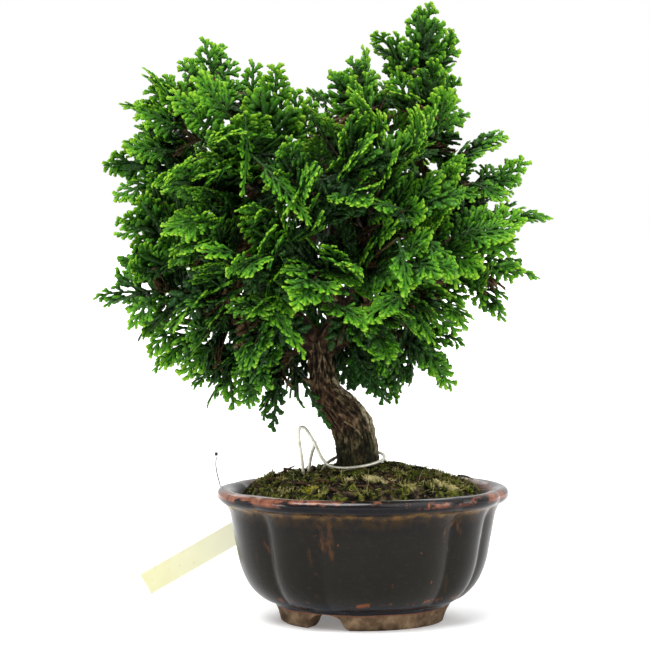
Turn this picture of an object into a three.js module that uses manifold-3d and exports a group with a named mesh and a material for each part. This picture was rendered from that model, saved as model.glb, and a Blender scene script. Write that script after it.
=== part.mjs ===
// A hinoki cypress bonsai: a lobed, footed pot with its soil, moss and drain mesh, a leaning trunk with its
// branches, flattened scale-leaf sprays in pads, a tie wire round the trunk, and a plant label at the back.
// Millimetres, +Z up, front towards -Y. The tree is laid out round the pot's own axis, and the whole group is
// then set with the middle of its bounding box over the origin, standing on z = 0.
import * as THREE from "three";
import { mergeVertices } from "three/addons/utils/BufferGeometryUtils.js";
import Module from "manifold-3d";

const wasm = await Module();
wasm.setup();

// ---- driving dimensions ------------------------------------------------------------------------------

const gap = 0.35; // clearance between pieces that touch
const pot = {
  axis: 0.2, // how far right of the tree's own axis it stands
  depthShare: 0.9, // depth over width
  turn: 11.8, // degrees the pot is turned about its axis, front lobe to the right
  bigLobe: 62, // degrees of one of the four broad lobes
  facets: [5, 3], // to a broad lobe and to a small one
  groove: 0.052, // how far a groove cuts in, as a share of the radius
  floorTop: 11,
  drainRadius: 6,
  archAngles: [-29, 91, 211], // foot openings, degrees from the front towards the right
  arch: { foot: 21, top: 10, height: 6.8, inner: 20, outer: 50 },
};
const soil = {
  bottom: 12.5,
  edge: 55.5,
  crown: 67.2,
  crownAt: [0, 2],
  spread: 58, // how far from its middle the mound reaches the edge's height
  fall: 1.8, // 1 for a cone, more for a rounder mound
  relief: 0.9,
  facets: [4, 2],
};
const moss = { thickness: 3, reach: 53.6, relief: 1.3 };
const mesh = { side: 16, thickness: 0.8, bars: 3, bar: 1.6 };
const twig = { sides: 3, root: 1.7, tip: 1.4, steps: 2, shortest: 9 };
const wire = { radius: 0.75, sides: 5, steps: 27, stubSteps: 4 };
const labelWire = { radius: 0.3, sides: 5, steps: 11, capRadius: 0.75, capLength: 1.6 };
const label = { length: 91, width: 10.9, thickness: 0.6, hole: 1.9, corner: 1.2 };
const frond = {
  setBack: 1.9, // how far inside the pad's middle its twig ends, as a share of the pad's reach
  thickness: 0.7,
  ahead: 1.05, // how far past the pad's middle its fronds run, as a share of the pad's reach
  fingers: 2, // to a side
  tip: 0.88, // where the end finger stops
  finger: 0.22, // width of a finger, as a share of the frond's length
  fan: [-30, 0, 30], // degrees that the fronds of a pad turn aside, lowest frond first
  rise: [-38, -10, 18], // degrees that they lift
  roll: 90, // range of degrees that a pad is turned about its own growth
  climbingRoll: 80, // degrees more where a pad climbs straight up
  stalk: 8, // length of the middle frond's stalk, in line with the twig, which the others spring from
  springs: [2.2, 8, 6.6], // how far along that line each frond's blade begins, or its root is sunk
};
const middleFrond = 1;
const perchSpacing = 6.8;
const trunkHoleRadius = 11;
const fork = { at: [-21, 0, 126.5], radius: 5.2 }; // the swelling where the trunk divides
const heart = new THREE.Vector3(-18, 0, 150); // where the branches spread from, and the sprays grow away from
const crown = { middle: new THREE.Vector3(-17, 0, 183), drawIn: 0.93 };

// ---- materials ---------------------------------------------------------------------------------------

const finish = (color, roughness, metalness = 0) =>
  new THREE.MeshStandardMaterial({ color, roughness, metalness });
const materials = {
  glaze: finish(0x2b2623, 0.18),
  soil: finish(0x2a1f17, 0.95),
  moss: finish(0x4a5a22, 0.9),
  bark: finish(0x4f3a2c, 0.85),
  foliage: finish(0x2f7a1e, 0.55),
  aluminium: finish(0xc9c8c2, 0.35, 0.9),
  label: finish(0xe9e8cf, 0.6),
  mesh: finish(0x1d1f20, 0.6),
  cap: finish(0x15161a, 0.5),
};

// ---- helpers -----------------------------------------------------------------------------------------

const radians = THREE.MathUtils.degToRad;
const vec = (x, y, z) => new THREE.Vector3(x, y, z);

// A repeatable draw from 0 to 1 for each pair of whole numbers.
function draw(i, k) {
  const s = Math.sin(i * 12.9898 + k * 78.233) * 43758.5453;
  return s - Math.floor(s);
}

// A manifold-3d solid from a closed geometry, faces turned outwards.
function solid(geometry) {
  const bare = geometry.clone();
  bare.deleteAttribute("normal");
  bare.deleteAttribute("uv");
  const merged = mergeVertices(bare, 1e-4);
  const index = Array.from(merged.index.array);
  const kept = [];
  for (let t = 0; t < index.length; t += 3) {
    const [a, b, c] = index.slice(t, t + 3);
    if (a !== b && b !== c && c !== a) kept.push(a, b, c);
  }
  const make = (triVerts) =>
    new wasm.Manifold(
      new wasm.Mesh({
        numProp: 3,
        vertProperties: new Float32Array(merged.attributes.position.array),
        triVerts: new Uint32Array(triVerts),
      }),
    );
  const made = make(kept);
  return made.volume() > 0 ? made : make(kept.reverse());
}

// The outer skin of the largest body: no loose scraps, and no hollows sealed inside.
function largest(made) {
  return made.decompose().sort((a, b) => b.volume() - a.volume())[0];
}

function meshOf(made, name, material) {
  const { numProp, vertProperties, triVerts } = made.getMesh();
  const positions = new Float32Array((vertProperties.length / numProp) * 3);
  for (let i = 0; i < positions.length / 3; i++)
    positions.set(vertProperties.subarray(i * numProp, i * numProp + 3), i * 3);
  const geometry = new THREE.BufferGeometry()
    .setAttribute("position", new THREE.BufferAttribute(positions, 3))
    .setIndex(new THREE.BufferAttribute(new Uint32Array(triVerts), 1));
  geometry.computeVertexNormals();
  const shown = new THREE.Mesh(geometry, material);
  shown.name = name;
  return shown;
}

// A closed skin over rings of points, each ring with the same count, capped flat at both ends.
function loft(rings) {
  const sides = rings[0].length;
  const positions = rings.flat().flatMap((p) => [p.x, p.y, p.z]);
  const index = [];
  for (let r = 0; r + 1 < rings.length; r++)
    for (let s = 0; s < sides; s++) {
      const a = r * sides + s;
      const b = r * sides + ((s + 1) % sides);
      index.push(a, b, a + sides, b, b + sides, a + sides);
    }
  const last = (rings.length - 1) * sides;
  for (let s = 1; s + 1 < sides; s++) {
    index.push(0, s + 1, s);
    index.push(last, last + s, last + s + 1);
  }
  const geometry = new THREE.BufferGeometry();
  geometry.setAttribute("position", new THREE.Float32BufferAttribute(positions, 3));
  geometry.setIndex(index);
  return geometry;
}

// A limb along a curve: radiusAt(t) is its radius, and flute(angle, t) a share added to it. It can run on
// straight past the curve's end.
function limb(curve, steps, sides, radiusAt, flute = () => 0, past = 0) {
  const frames = curve.computeFrenetFrames(steps, false);
  const rings = [];
  for (let i = 0; i <= steps; i++) {
    const t = i / steps;
    const centre = curve.getPointAt(t);
    if (i === steps) centre.addScaledVector(frames.tangents[i], past);
    const ring = [];
    for (let s = 0; s < sides; s++) {
      const angle = (2 * Math.PI * s) / sides;
      const radius = radiusAt(t) * (1 + flute(angle, t));
      ring.push(
        centre
          .clone()
          .addScaledVector(frames.normals[i], radius * Math.cos(angle))
          .addScaledVector(frames.binormals[i], radius * Math.sin(angle)),
      );
    }
    rings.push(ring);
  }
  return solid(loft(rings));
}

// ---- the pot, its soil and its moss ------------------------------------------------------------------

// Angles round the pot, in degrees from the middle of a broad lobe, with so many facets to a lobe.
function lobeAngles([bigFacets, smallFacets]) {
  const small = 90 - pot.bigLobe;
  const angles = [];
  for (let quarter = 0; quarter < 4; quarter++) {
    const start = quarter * 90 - pot.bigLobe / 2;
    for (let f = 0; f < bigFacets; f++) angles.push(start + (pot.bigLobe * f) / bigFacets);
    for (let f = 0; f < smallFacets; f++) angles.push(start + pot.bigLobe + (small * f) / smallFacets);
  }
  return angles;
}

// How far the outline is drawn in at an angle: 0 on a lobe's crest, 1 in a groove.
function grooveAt(degrees) {
  const local = ((((degrees + pot.bigLobe / 2) % 90) + 90) % 90) - pot.bigLobe / 2;
  const small = 90 - pot.bigLobe;
  const onBig = local <= pot.bigLobe / 2;
  const t = onBig ? local / (pot.bigLobe / 2) : (local - 45) / (small / 2);
  return Math.pow(Math.abs(t), onBig ? 3.4 : 2.2);
}

// A body turned from a profile of [radius, height, lobing], then given the pot's lobed plan.
// lift(x, y, row) is added to the height of each point.
function lobed(profile, facets, lift = () => 0) {
  const angles = lobeAngles(facets);
  const points = profile.map(([r, z]) => new THREE.Vector2(r, z));
  const geometry = new THREE.LatheGeometry(points, angles.length);
  const place = geometry.attributes.position;
  for (let v = 0; v < place.count; v++) {
    const column = Math.floor(v / profile.length) % angles.length;
    const [r, z, lobing] = profile[v % profile.length];
    const shape = r * (1 - lobing * pot.groove * grooveAt(angles[column]));
    const angle = radians(angles[column]);
    const flat = vec(shape * Math.sin(angle), -shape * pot.depthShare * Math.cos(angle), z);
    flat.applyAxisAngle(vec(0, 0, 1), radians(pot.turn));
    flat.x += pot.axis;
    flat.z += lift(flat.x, flat.y, v % profile.length);
    place.setXYZ(v, flat.x, flat.y, flat.z);
  }
  return solid(geometry);
}

// One opening cut through the foot ring, an arch with rounded shoulders.
function footArch(degrees) {
  const { foot, top, height, inner, outer } = pot.arch;
  const shape = new THREE.Shape();
  shape.moveTo(-foot / 2, -1);
  shape.lineTo(-foot / 2, 0);
  shape.quadraticCurveTo(-top / 2, height * 0.35, -top / 2, height * 0.8);
  shape.quadraticCurveTo(-top / 2, height, 0, height);
  shape.quadraticCurveTo(top / 2, height, top / 2, height * 0.8);
  shape.quadraticCurveTo(top / 2, height * 0.35, foot / 2, 0);
  shape.lineTo(foot / 2, -1);
  const cutter = new THREE.ExtrudeGeometry(shape, {
    depth: outer - inner,
    bevelEnabled: false,
    curveSegments: 2,
  });
  cutter.translate(0, 0, inner);
  cutter.rotateX(Math.PI / 2); // the extrusion runs outwards along -Y, its height along +Z
  cutter.rotateZ(radians(degrees));
  cutter.translate(pot.axis, 0, 0);
  return solid(cutter);
}

function makePot() {
  const profile = [
    [pot.drainRadius, 6, 0],
    [27.5, 6, 0],
    [29, 0, 0],
    [37.4, 0, 0],
    [39.2, 6.2, 0.1],
    [41.2, 8.8, 0.4],
    [46.6, 11.4, 0.8],
    [52.2, 17.2, 1],
    [56.2, 26, 1],
    [58.6, 38, 1],
    [60.4, 48, 0.9],
    [62.6, 53, 0.6],
    [66, 55.6, 0.4],
    [66.2, 58.8, 0.4],
    [63.4, 60.5, 0.4],
    [59.4, 59, 0.5],
    [54.5, 50, 0.9],
    [52, 30, 0.9],
    [46, 15, 0.5],
    [37, pot.floorTop, 0.1],
    [pot.drainRadius, pot.floorTop, 0],
  ];
  profile.push(profile[0]);
  return pot.archAngles.reduce((made, a) => made.subtract(footArch(a)), lobed(profile, pot.facets));
}

// The mound's height over a flat edge, highest beside the trunk.
function moundLift(x, y) {
  const [cx, cy] = soil.crownAt;
  const away = Math.hypot(x - cx, y - cy) / soil.spread;
  return (soil.crown - soil.edge) * Math.max(0, 1 - away ** soil.fall);
}

function relief(x, y, height) {
  return (
    height *
    (0.5 * Math.sin(x * 0.23 + 1.1) * Math.cos(y * 0.27) +
      0.3 * Math.sin(x * 0.51 + y * 0.43) +
      0.2 * Math.cos(x * 0.71 - y * 0.83))
  );
}

function groundLift(x, y) {
  return moundLift(x, y) + relief(x, y, soil.relief);
}

// The soil's body. raised lifts its top, for cutting clearance under the moss.
function makeSoil(raised = 0) {
  const top = soil.edge + raised;
  const profile = [
    [0, soil.bottom, 0],
    [37, soil.bottom, 0.1],
    [50.4, 31, 0.9],
    [53, 50.5, 1],
    [54.8, top, 1],
    [38, top, 0.6],
    [19, top, 0.1],
    [0, top, 0],
  ];
  const edgeRow = 4;
  return lobed(profile, soil.facets, (x, y, row) => (row < edgeRow ? 0 : groundLift(x, y)));
}

// The moss lies on the soil and stands up from it in soft lumps.
function makeMoss() {
  const top = soil.edge + gap + moss.thickness;
  const profile = [
    [0, soil.edge - 2, 0],
    [moss.reach - 0.5, soil.edge - 2, 1],
    [moss.reach, top - moss.thickness + 0.8, 1],
    [43, top, 0.7],
    [30, top, 0.4],
    [15, top, 0.1],
    [0, top, 0],
  ];
  const edgeRow = 2;
  const lump = (x, y, row) => (row > edgeRow ? relief(y * 1.7, x * 1.9, moss.relief) : 0);
  const cushion = lobed(profile, soil.facets, (x, y, row) =>
    row < edgeRow ? 0 : groundLift(x, y) + lump(x, y, row),
  );
  return cushion.subtract(makeSoil(gap));
}

// A square plastic mesh over the drain hole: bars one way joined to bars the other way.
function makeDrainMesh() {
  const { side, thickness, bars, bar } = mesh;
  const strips = [];
  for (let i = 0; i < bars; i++) {
    const at = ((side - bar) * i) / (bars - 1) - (side - bar) / 2;
    strips.push(new THREE.BoxGeometry(bar, side, thickness).translate(at, 0, 0));
    strips.push(new THREE.BoxGeometry(side, bar, thickness).translate(0, at, 0));
  }
  const lift = pot.floorTop + gap + thickness / 2;
  return wasm.Manifold.union(strips.map((strip) => solid(strip.translate(0, 0, lift))));
}

// ---- the tree's wood ---------------------------------------------------------------------------------

// Each limb: its line through the points, and its radius at even steps from root to tip.
const limbs = {
  trunk: {
    sides: 12,
    flute: trunkFlute,
    radii: [8.2, 8.5, 9.1, 9.2, 7.4, 5.4, 4.9],
    steps: 12,
    line: [
      [2, 0, 46], [0, 0, 60], [-1.4, 0, 70], [-2.1, 0, 77], [-3.4, -0.4, 84], [-6, -0.8, 90.5],
      [-12, -1, 97.3], [-16.5, -0.6, 104.2], [-18.2, 0, 111], [-19.5, 0, 118], [-21, 0, 127],
    ],
  },
  leaderRight: {
    sides: 6,
    radii: [4.4, 3.6, 1.6],
    steps: 5,
    line: [
      [-20, 0, 122], [-15, -1, 131], [-5, -1, 143], [4, 1, 163], [11, 2, 190], [17, 2, 216], [22, 1, 236],
    ],
  },
  leaderLeft: {
    sides: 6,
    radii: [4.4, 3.4, 1.6],
    steps: 5,
    line: [
      [-20.5, 0, 122], [-26, -1, 132], [-37, -2, 144], [-49, -1, 162], [-57, 1, 186], [-63, 3, 210],
      [-66, 4, 224],
    ],
  },
  armLeft: {
    sides: 6,
    radii: [3, 2.6, 1.7],
    steps: 4,
    line: [[-21, -1, 123], [-34, -7, 130.5], [-50, -9, 132], [-66, -8, 137], [-80, -4, 146]],
  },
  armRight: {
    sides: 6,
    radii: [3, 2.4, 1.5],
    steps: 4,
    line: [[-19.5, 1, 119], [-8, 4, 127], [8, 3, 134], [24, 1, 141], [42, -1, 154]],
  },
  armBack: {
    sides: 6,
    radii: [3, 2.5, 1.6],
    steps: 4,
    line: [[-20, 1, 121], [-22, 12, 131], [-24, 24, 143], [-25, 34, 160], [-22, 38, 182]],
  },
  armFront: {
    sides: 6,
    radii: [2.8, 2.2, 1.5],
    steps: 4,
    line: [[-14, -2, 135], [-13, -13, 146], [-15, -24, 158], [-14, -31, 174], [-12, -34, 192]],
  },
};

function lineOf({ line }) {
  return new THREE.CatmullRomCurve3(line.map((p) => vec(...p)), false, "centripetal");
}

function radiusAlong(radii, t) {
  const at = Math.min(t, 0.9999) * (radii.length - 1);
  const i = Math.floor(at);
  return THREE.MathUtils.lerp(radii[i], radii[i + 1], at - i);
}

// Shallow flutes run up the trunk and turn a little with height.
function trunkFlute(angle, t) {
  return 0.07 * Math.sin(3 * angle + 2 + 3 * t) + 0.035 * Math.sin(5 * angle + 6 * t);
}

// ---- where the foliage pads are ----------------------------------------------------------------------

// Each pad: the middle of its foliage, and how far it reaches.
const outlinePads = {
  left_top: [-66, 4, 243, 22],
  left_shoulder: [-93, -6, 231, 21],
  left_upper: [-97, 6, 210, 21],
  left_middle: [-101, -8, 179, 22],
  left_low: [-99, 4, 148, 21],
  low_left: [-80, -5, 127, 21],
  low_left_front: [-62, 4, 114, 20],
  droop_left: [-41, -5, 107, 20],
  droop_right: [5, 10, 114, 18],
  low_right: [29, -5, 120, 19],
  right_low: [32, 8, 140, 18],
  right_middle: [60, -8, 161, 22],
  right_tip: [64, 4, 188, 21],
  right_upper: [57, -5, 205, 21],
  right_shoulder: [35, 12, 224, 20],
  spire_side: [30, -8, 240, 18],
  spire: [32, 0, 266, 16],
  right_top: [2, -5, 239, 21],
};
const frontPads = {
  front_left_top: [-60, -42, 225, 20],
  front_left_upper: [-75, -44, 208, 21],
  front_left: [-80, -46, 178, 22],
  front_centre_left: [-52, -58, 170, 22],
  front_left_low: [-76, -42, 150, 21],
  front_low_left: [-54, -46, 132, 20],
  front_centre_top: [-32, -60, 192, 22],
  front_centre: [-20, -62, 162, 22],
  front_upper: [-8, -58, 208, 21],
  front_right_top: [13, -44, 224, 21],
  front_right_upper: [19, -56, 194, 22],
  front_right: [41, -42, 177, 21],
  front_centre_right: [12, -60, 166, 21],
  front_right_low: [27, -44, 148, 18],
  front_low: [8, -46, 135, 19],
};
// The back of the crown is filled evenly by the golden angle, over a dome that bulges away from the trunk.
const backDome = { count: 10, middle: [-18, 0, 184], across: 66, deep: 60, tall: 58, reach: 23 };
const goldenAngle = Math.PI * (3 - Math.sqrt(5));
const backPads = Object.fromEntries(
  Array.from({ length: backDome.count }, (_, i) => {
    const angle = i * goldenAngle + 0.9;
    const out = Math.sqrt((i + 0.5) / backDome.count);
    const [x, y, z] = backDome.middle;
    const place = [
      x + backDome.across * out * Math.cos(angle),
      y + backDome.deep * Math.sqrt(1 - 0.55 * out * out),
      z + backDome.tall * out * Math.sin(angle),
    ];
    return [`back_${i + 1}`, [...place, backDome.reach]];
  }),
);
const pads = Object.entries({ ...outlinePads, ...frontPads, ...backPads }).map(
  ([name, [x, y, z, reach]], number) => {
    const middle = vec(x, y, z).sub(crown.middle).multiplyScalar(crown.drawIn).add(crown.middle);
    return { name, number, middle, reach };
  },
);

// A pad keeps to its own side of the planes halfway to its neighbours. Points well inside stay as they are,
// and points further out are drawn in smoothly, so that sprays end short of each other.
function keepInside(point, pad) {
  const away = point.clone().sub(pad.middle);
  const distance = away.length();
  if (distance < 1e-6) return point;
  away.divideScalar(distance);
  let room = Infinity;
  for (const other of pads) {
    if (other === pad) continue;
    const across = other.middle.clone().sub(pad.middle);
    const half = (across.length() - gap - frond.thickness) / 2;
    const towards = across.normalize().dot(away);
    if (towards > 1e-6) room = Math.min(room, half / towards);
  }
  const free = 0.8;
  const share = distance / room;
  if (share <= free) return point;
  const held = free + (1 - free) * (1 - Math.exp(-(share - free) / (1 - free)));
  return pad.middle.clone().addScaledVector(away, held * room);
}

// ---- twigs from the limbs to the pads ----------------------------------------------------------------

// Points along the limbs that a twig may leave from, with the direction of growth there.
const perches = Object.entries(limbs).flatMap(([name, spec]) => {
  const curve = lineOf(spec);
  const first = name === "trunk" ? 0.93 : 0.3;
  const count = Math.ceil(((1 - first) * curve.getLength()) / perchSpacing) + 1;
  return Array.from({ length: count }, (_, i) => {
    const t = THREE.MathUtils.lerp(first, 0.96, count > 1 ? i / (count - 1) : 0);
    return { at: curve.getPointAt(t), heading: curve.getTangentAt(t), taken: false };
  });
});

// Each pad hangs on the nearest free perch, and is loath to turn back along the limb or to drop from it.
function perchFor(middle) {
  const cost = ({ at, heading, taken }) => {
    const way = middle.clone().sub(at);
    if (taken || way.length() < twig.shortest + 12) return Infinity;
    const turned = way.clone().normalize().dot(heading);
    return way.length() * (1.3 - 0.3 * turned) + 0.5 * Math.max(0, at.z - middle.z);
  };
  const perch = perches.reduce((best, p) => (cost(p) < cost(best) ? p : best));
  perch.taken = true;
  return perch;
}

// A pad's growth leads away both from its perch and from the heart of the tree. Its root is where its twig
// ends and its own stalk begins.
for (const pad of pads) {
  pad.perch = perchFor(pad.middle);
  const way = pad.middle.clone().sub(pad.perch.at);
  const away = pad.middle.clone().sub(heart).normalize();
  pad.grow = way.clone().normalize().multiplyScalar(0.6).add(away).normalize();
  pad.depth = Math.min(frond.setBack * pad.reach, way.length() - twig.shortest);
  pad.root = pad.middle.clone().addScaledVector(pad.grow, -pad.depth);
}

// The line of a pad's twig, which arrives along the pad's own growth.
function twigLine({ perch, root, grow }) {
  const span = root.distanceTo(perch.at);
  return new THREE.CubicBezierCurve3(
    perch.at,
    perch.at.clone().addScaledVector(perch.heading, span * 0.12),
    root.clone().addScaledVector(grow, -span * 0.35),
    root,
  );
}

// All the wood in one body. swell makes every limb thicker, for cutting clearance.
function makeWood(swell) {
  const grown = Object.values(limbs).map((spec) => {
    const radius = (t) => radiusAlong(spec.radii, t) + swell;
    return limb(lineOf(spec), spec.steps, spec.sides, radius, spec.flute, swell);
  });
  const twigRadius = (t) => THREE.MathUtils.lerp(twig.root, twig.tip, t) + swell;
  const twigs = pads.map((pad) =>
    limb(twigLine(pad), twig.steps, twig.sides, twigRadius, undefined, swell),
  );
  const knot = solid(new THREE.IcosahedronGeometry(fork.radius + swell, 1).translate(...fork.at));
  return largest(wasm.Manifold.union([...grown, ...twigs, knot]));
}

// ---- foliage -----------------------------------------------------------------------------------------

// The outline of one frond, base to tip and back: u runs along the rib from 0 to 1, v across it. Blunt
// fingers leave the rib on alternate sides, cut nearly down to it, and a stalk may run back from u = 0.
function frondOutline(seed, stalk) {
  const side = (sign, phase) => {
    const points = [[-stalk, 0.022 * sign], [0.06, 0.022 * sign]];
    for (let k = 0; k < frond.fingers; k++) {
      const u = 0.1 + phase + 0.29 * k;
      const lean = radians(50 - 8 * k + 8 * (draw(seed, 10 + k + 5 * sign) - 0.5));
      const long = (0.5 - 0.07 * k) * (0.9 + 0.2 * draw(seed, 20 + k + 5 * sign));
      const half = frond.finger / 2;
      const tip = [u + long * Math.cos(lean), long * Math.sin(lean)];
      const across = [half * Math.sin(lean), half * Math.cos(lean)];
      points.push([tip[0] - across[0], sign * (tip[1] + across[1] * 0.6)]);
      points.push([tip[0] + across[0], sign * (tip[1] - across[1] * 1.1)]);
      points.push([u + 0.2, sign * 0.07]);
    }
    return points;
  };
  return [...side(-1, 0), [frond.tip, -0.09], [frond.tip, 0.08], ...side(1, 0.08).reverse()];
}

// The place and bearing of spray number j of a pad: its root, the way it grows, its upper face and its size.
// A pad's sprays lie in tiers that part from each other. They face up where the pad spreads and sideways
// where it climbs, and their tips droop.
function sprayFrame(pad, j) {
  const seed = pad.number * 17 + j;
  const outward = vec(pad.grow.x, pad.grow.y, 0).normalize();
  const face = vec(0, 0, 0.8).addScaledVector(outward, 0.6);
  face.addScaledVector(pad.grow, -face.dot(pad.grow)).normalize();
  const roll = frond.roll * (draw(pad.number, 163) - 0.5) + frond.climbingRoll * Math.max(0, pad.grow.z);
  face.applyAxisAngle(pad.grow, radians(roll));
  const across = pad.grow.clone().cross(face);
  const grow = pad.grow.clone();
  const fan = frond.fan[j] + 10 * (draw(seed, 1) - 0.5);
  const rise = frond.rise[j] + 6 * (draw(seed, 2) - 0.5);
  grow.applyAxisAngle(across, radians(rise));
  face.applyAxisAngle(across, radians(rise));
  grow.applyAxisAngle(face, radians(fan));
  const aside = grow.clone().cross(face);
  return {
    seed,
    root: pad.root.clone().addScaledVector(pad.grow, frond.springs[j]),
    stalk: j === middleFrond ? frond.stalk - gap : 0,
    grow,
    face,
    side: aside,
    long: ((pad.depth + frond.ahead * pad.reach - frond.stalk) / frond.tip) * (0.9 + 0.2 * draw(seed, 4)),
    droop: radians(-24 - 12 * draw(pad.number, 5)),
    cup: -0.12 - 0.2 * draw(pad.number, 6),
  };
}

// A point of a spray: u along and v across, as shares of its length.
function sprayPoint(spray, u, v) {
  const turn = spray.droop * u;
  const along = (Math.sin(turn) / spray.droop) * spray.long;
  const rise = ((1 - Math.cos(turn)) / spray.droop) * spray.long;
  const face = spray.face
    .clone()
    .multiplyScalar(Math.cos(turn))
    .addScaledVector(spray.grow, -Math.sin(turn));
  return spray.root
    .clone()
    .addScaledVector(spray.grow, along)
    .addScaledVector(spray.face, rise)
    .addScaledVector(spray.side, v * spray.long)
    .addScaledVector(face, spray.cup * v * v * spray.long);
}

// The normals of a sheet of triangles at its points.
function sheetNormals(points, triangles) {
  const normals = points.map(() => vec(0, 0, 0));
  for (const [a, b, c] of triangles) {
    const facing = points[b].clone().sub(points[a]).cross(points[c].clone().sub(points[a]));
    for (const i of [a, b, c]) normals[i].add(facing);
  }
  return normals.map((normal) => normal.normalize());
}

// One frond: its outline is bent into place as a sheet, and the sheet is then given its thickness.
function makeFrond(pad, j) {
  const spray = sprayFrame(pad, j);
  const points = frondOutline(spray.seed, spray.stalk / spray.long);
  const outline = points.map(([u, v]) => new THREE.Vector2(u, v));
  if (THREE.ShapeUtils.isClockWise(outline)) outline.reverse();
  const triangles = THREE.ShapeUtils.triangulateShape(outline, []);
  const sheet = outline.map(({ x, y }) => keepInside(sprayPoint(spray, x, y), pad));
  const normals = sheetNormals(sheet, triangles);
  const layer = (w) => sheet.map((point, i) => point.clone().addScaledVector(normals[i], w));
  const positions = [...layer(frond.thickness / 2), ...layer(-frond.thickness / 2)];
  const count = outline.length;
  const index = [];
  for (const [a, b, c] of triangles) index.push(a, b, c, a + count, c + count, b + count);
  for (let i = 0; i < count; i++) {
    const next = (i + 1) % count;
    index.push(i, i + count, next, next, i + count, next + count);
  }
  const geometry = new THREE.BufferGeometry();
  geometry.setAttribute(
    "position",
    new THREE.Float32BufferAttribute(positions.flatMap((p) => [p.x, p.y, p.z]), 3),
  );
  geometry.setIndex(index);
  return solid(geometry);
}

// A pad: the middle frond on its stalk, which the other fronds' roots are sunk in.
function makePad(pad, clearWood) {
  const fronds = frond.fan.map((_, j) => makeFrond(pad, j));
  let made = wasm.Manifold.union(fronds);
  if (made.intersect(clearWood).volume() > 1e-4) made = made.subtract(clearWood);
  return largest(made);
}

// ---- wires and label ---------------------------------------------------------------------------------

// Moves the ends of a wire that stand in the soil down by the gap.
function sunk([x, y, z]) {
  return [x, y, z === wireEnd ? z - gap : z];
}

function bentWire(points, radius, sides, steps) {
  const line = new THREE.CatmullRomCurve3(points.map((p) => vec(...p)), false, "centripetal");
  return limb(line, steps, sides, () => radius);
}

// From the soil up into a hairpin, down to the trunk, once round it and back into the soil behind.
const wireEnd = 60;
const trunkWireLine = [
  [-27, -6, wireEnd], [-27.2, -6, 70], [-29, -6, 84], [-28.5, -6.2, 88], [-26.6, -6.6, 88], [-24, -7.2, 84.6],
  [-21.2, -8.2, 79.8], [-18.8, -9.4, 74.8], [-15.6, -10.6, 71.4], [-10.6, -11.8, 70.2], [-3, -12.2, 70.6],
  [4, -9.8, 71.8], [8.8, -4.6, 73.2], [9.6, 1.5, 74.6], [7, 7.8, 75.4], [0, 11.2, 75.2], [-7.4, 10.4, 74.4],
  [-12.4, 7, 73], [-16.5, 4.4, 70.4], [-19, 3, 66], [-20, 2.5, wireEnd],
];
const wireStubLine = [[-24.6, -2, wireEnd], [-24.4, -2, 69], [-23.4, -2.6, 75], [-21.4, -3.6, 81.4]];
const labelFoot = vec(-104, 71, 5); // the middle of the label's lower end
const labelHead = vec(-31, 57.6, 48.6);
const labelWireLine = [
  [-31.2, 60.4, 48.2], [-31.5, 57.7, 48.4], [-34, 54.8, 48.6], [-42, 53.8, 47.2], [-52, 53.4, 46.2],
  [-60, 52.2, 47.6], [-66.2, 50.2, 53.4], [-67.5, 49.8, 57.4], [-68.4, 49.6, 61], [-69, 49.4, 65],
  [-68.8, 49.4, 69.3],
];

// The label leans with its lower end on the ground and its head at the back of the rim.
function makeLabel() {
  const { length, width, thickness, hole, corner } = label;
  const shape = new THREE.Shape();
  const half = width / 2;
  shape.moveTo(0, -half);
  shape.lineTo(length - corner, -half);
  shape.lineTo(length, -half + corner);
  shape.lineTo(length, half - corner);
  shape.lineTo(length - corner, half);
  shape.lineTo(0, half);
  const eye = new THREE.Path();
  eye.absarc(length - 5, 0, hole, 0, 2 * Math.PI, true);
  shape.holes.push(eye);
  const strip = new THREE.ExtrudeGeometry(shape, {
    depth: thickness,
    bevelEnabled: false,
    curveSegments: 4,
  });
  const along = labelHead.clone().sub(labelFoot).normalize();
  const face = vec(along.x * 0.25, -1, 0.12);
  face.addScaledVector(along, -face.dot(along)).normalize();
  const across = face.clone().cross(along);
  strip.applyMatrix4(new THREE.Matrix4().makeBasis(along, across, face).setPosition(labelFoot));
  return solid(strip);
}

function makeWireCap() {
  const tip = vec(...labelWireLine.at(-1));
  const cap = new THREE.CylinderGeometry(
    labelWire.capRadius,
    labelWire.capRadius,
    labelWire.capLength,
    8,
  );
  cap.rotateX(Math.PI / 2);
  cap.translate(tip.x, tip.y, tip.z + gap + labelWire.capLength / 2);
  return solid(cap);
}

// ---- assembly ----------------------------------------------------------------------------------------

const wood = makeWood(0);
const clearWood = makeWood(gap);
const trunkWire = bentWire(trunkWireLine, wire.radius, wire.sides, wire.steps);
const wireStub = bentWire(wireStubLine, wire.radius, wire.sides, wire.stubSteps);
const wireRoom = wasm.Manifold.union([
  bentWire(trunkWireLine.map(sunk), wire.radius + gap, wire.sides, wire.steps),
  bentWire(wireStubLine.map(sunk), wire.radius + gap, wire.sides, wire.stubSteps),
]);

// The trunk and the wires stand in plain holes in the soil and the moss.
const trunkHoleLine = new THREE.LineCurve3(vec(2.2, 0, 45.6), vec(-2.6, 0, 82));
const trunkHole = limb(trunkHoleLine, 1, 8, () => trunkHoleRadius);
const holes = wasm.Manifold.union([trunkHole, wireRoom]);

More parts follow.
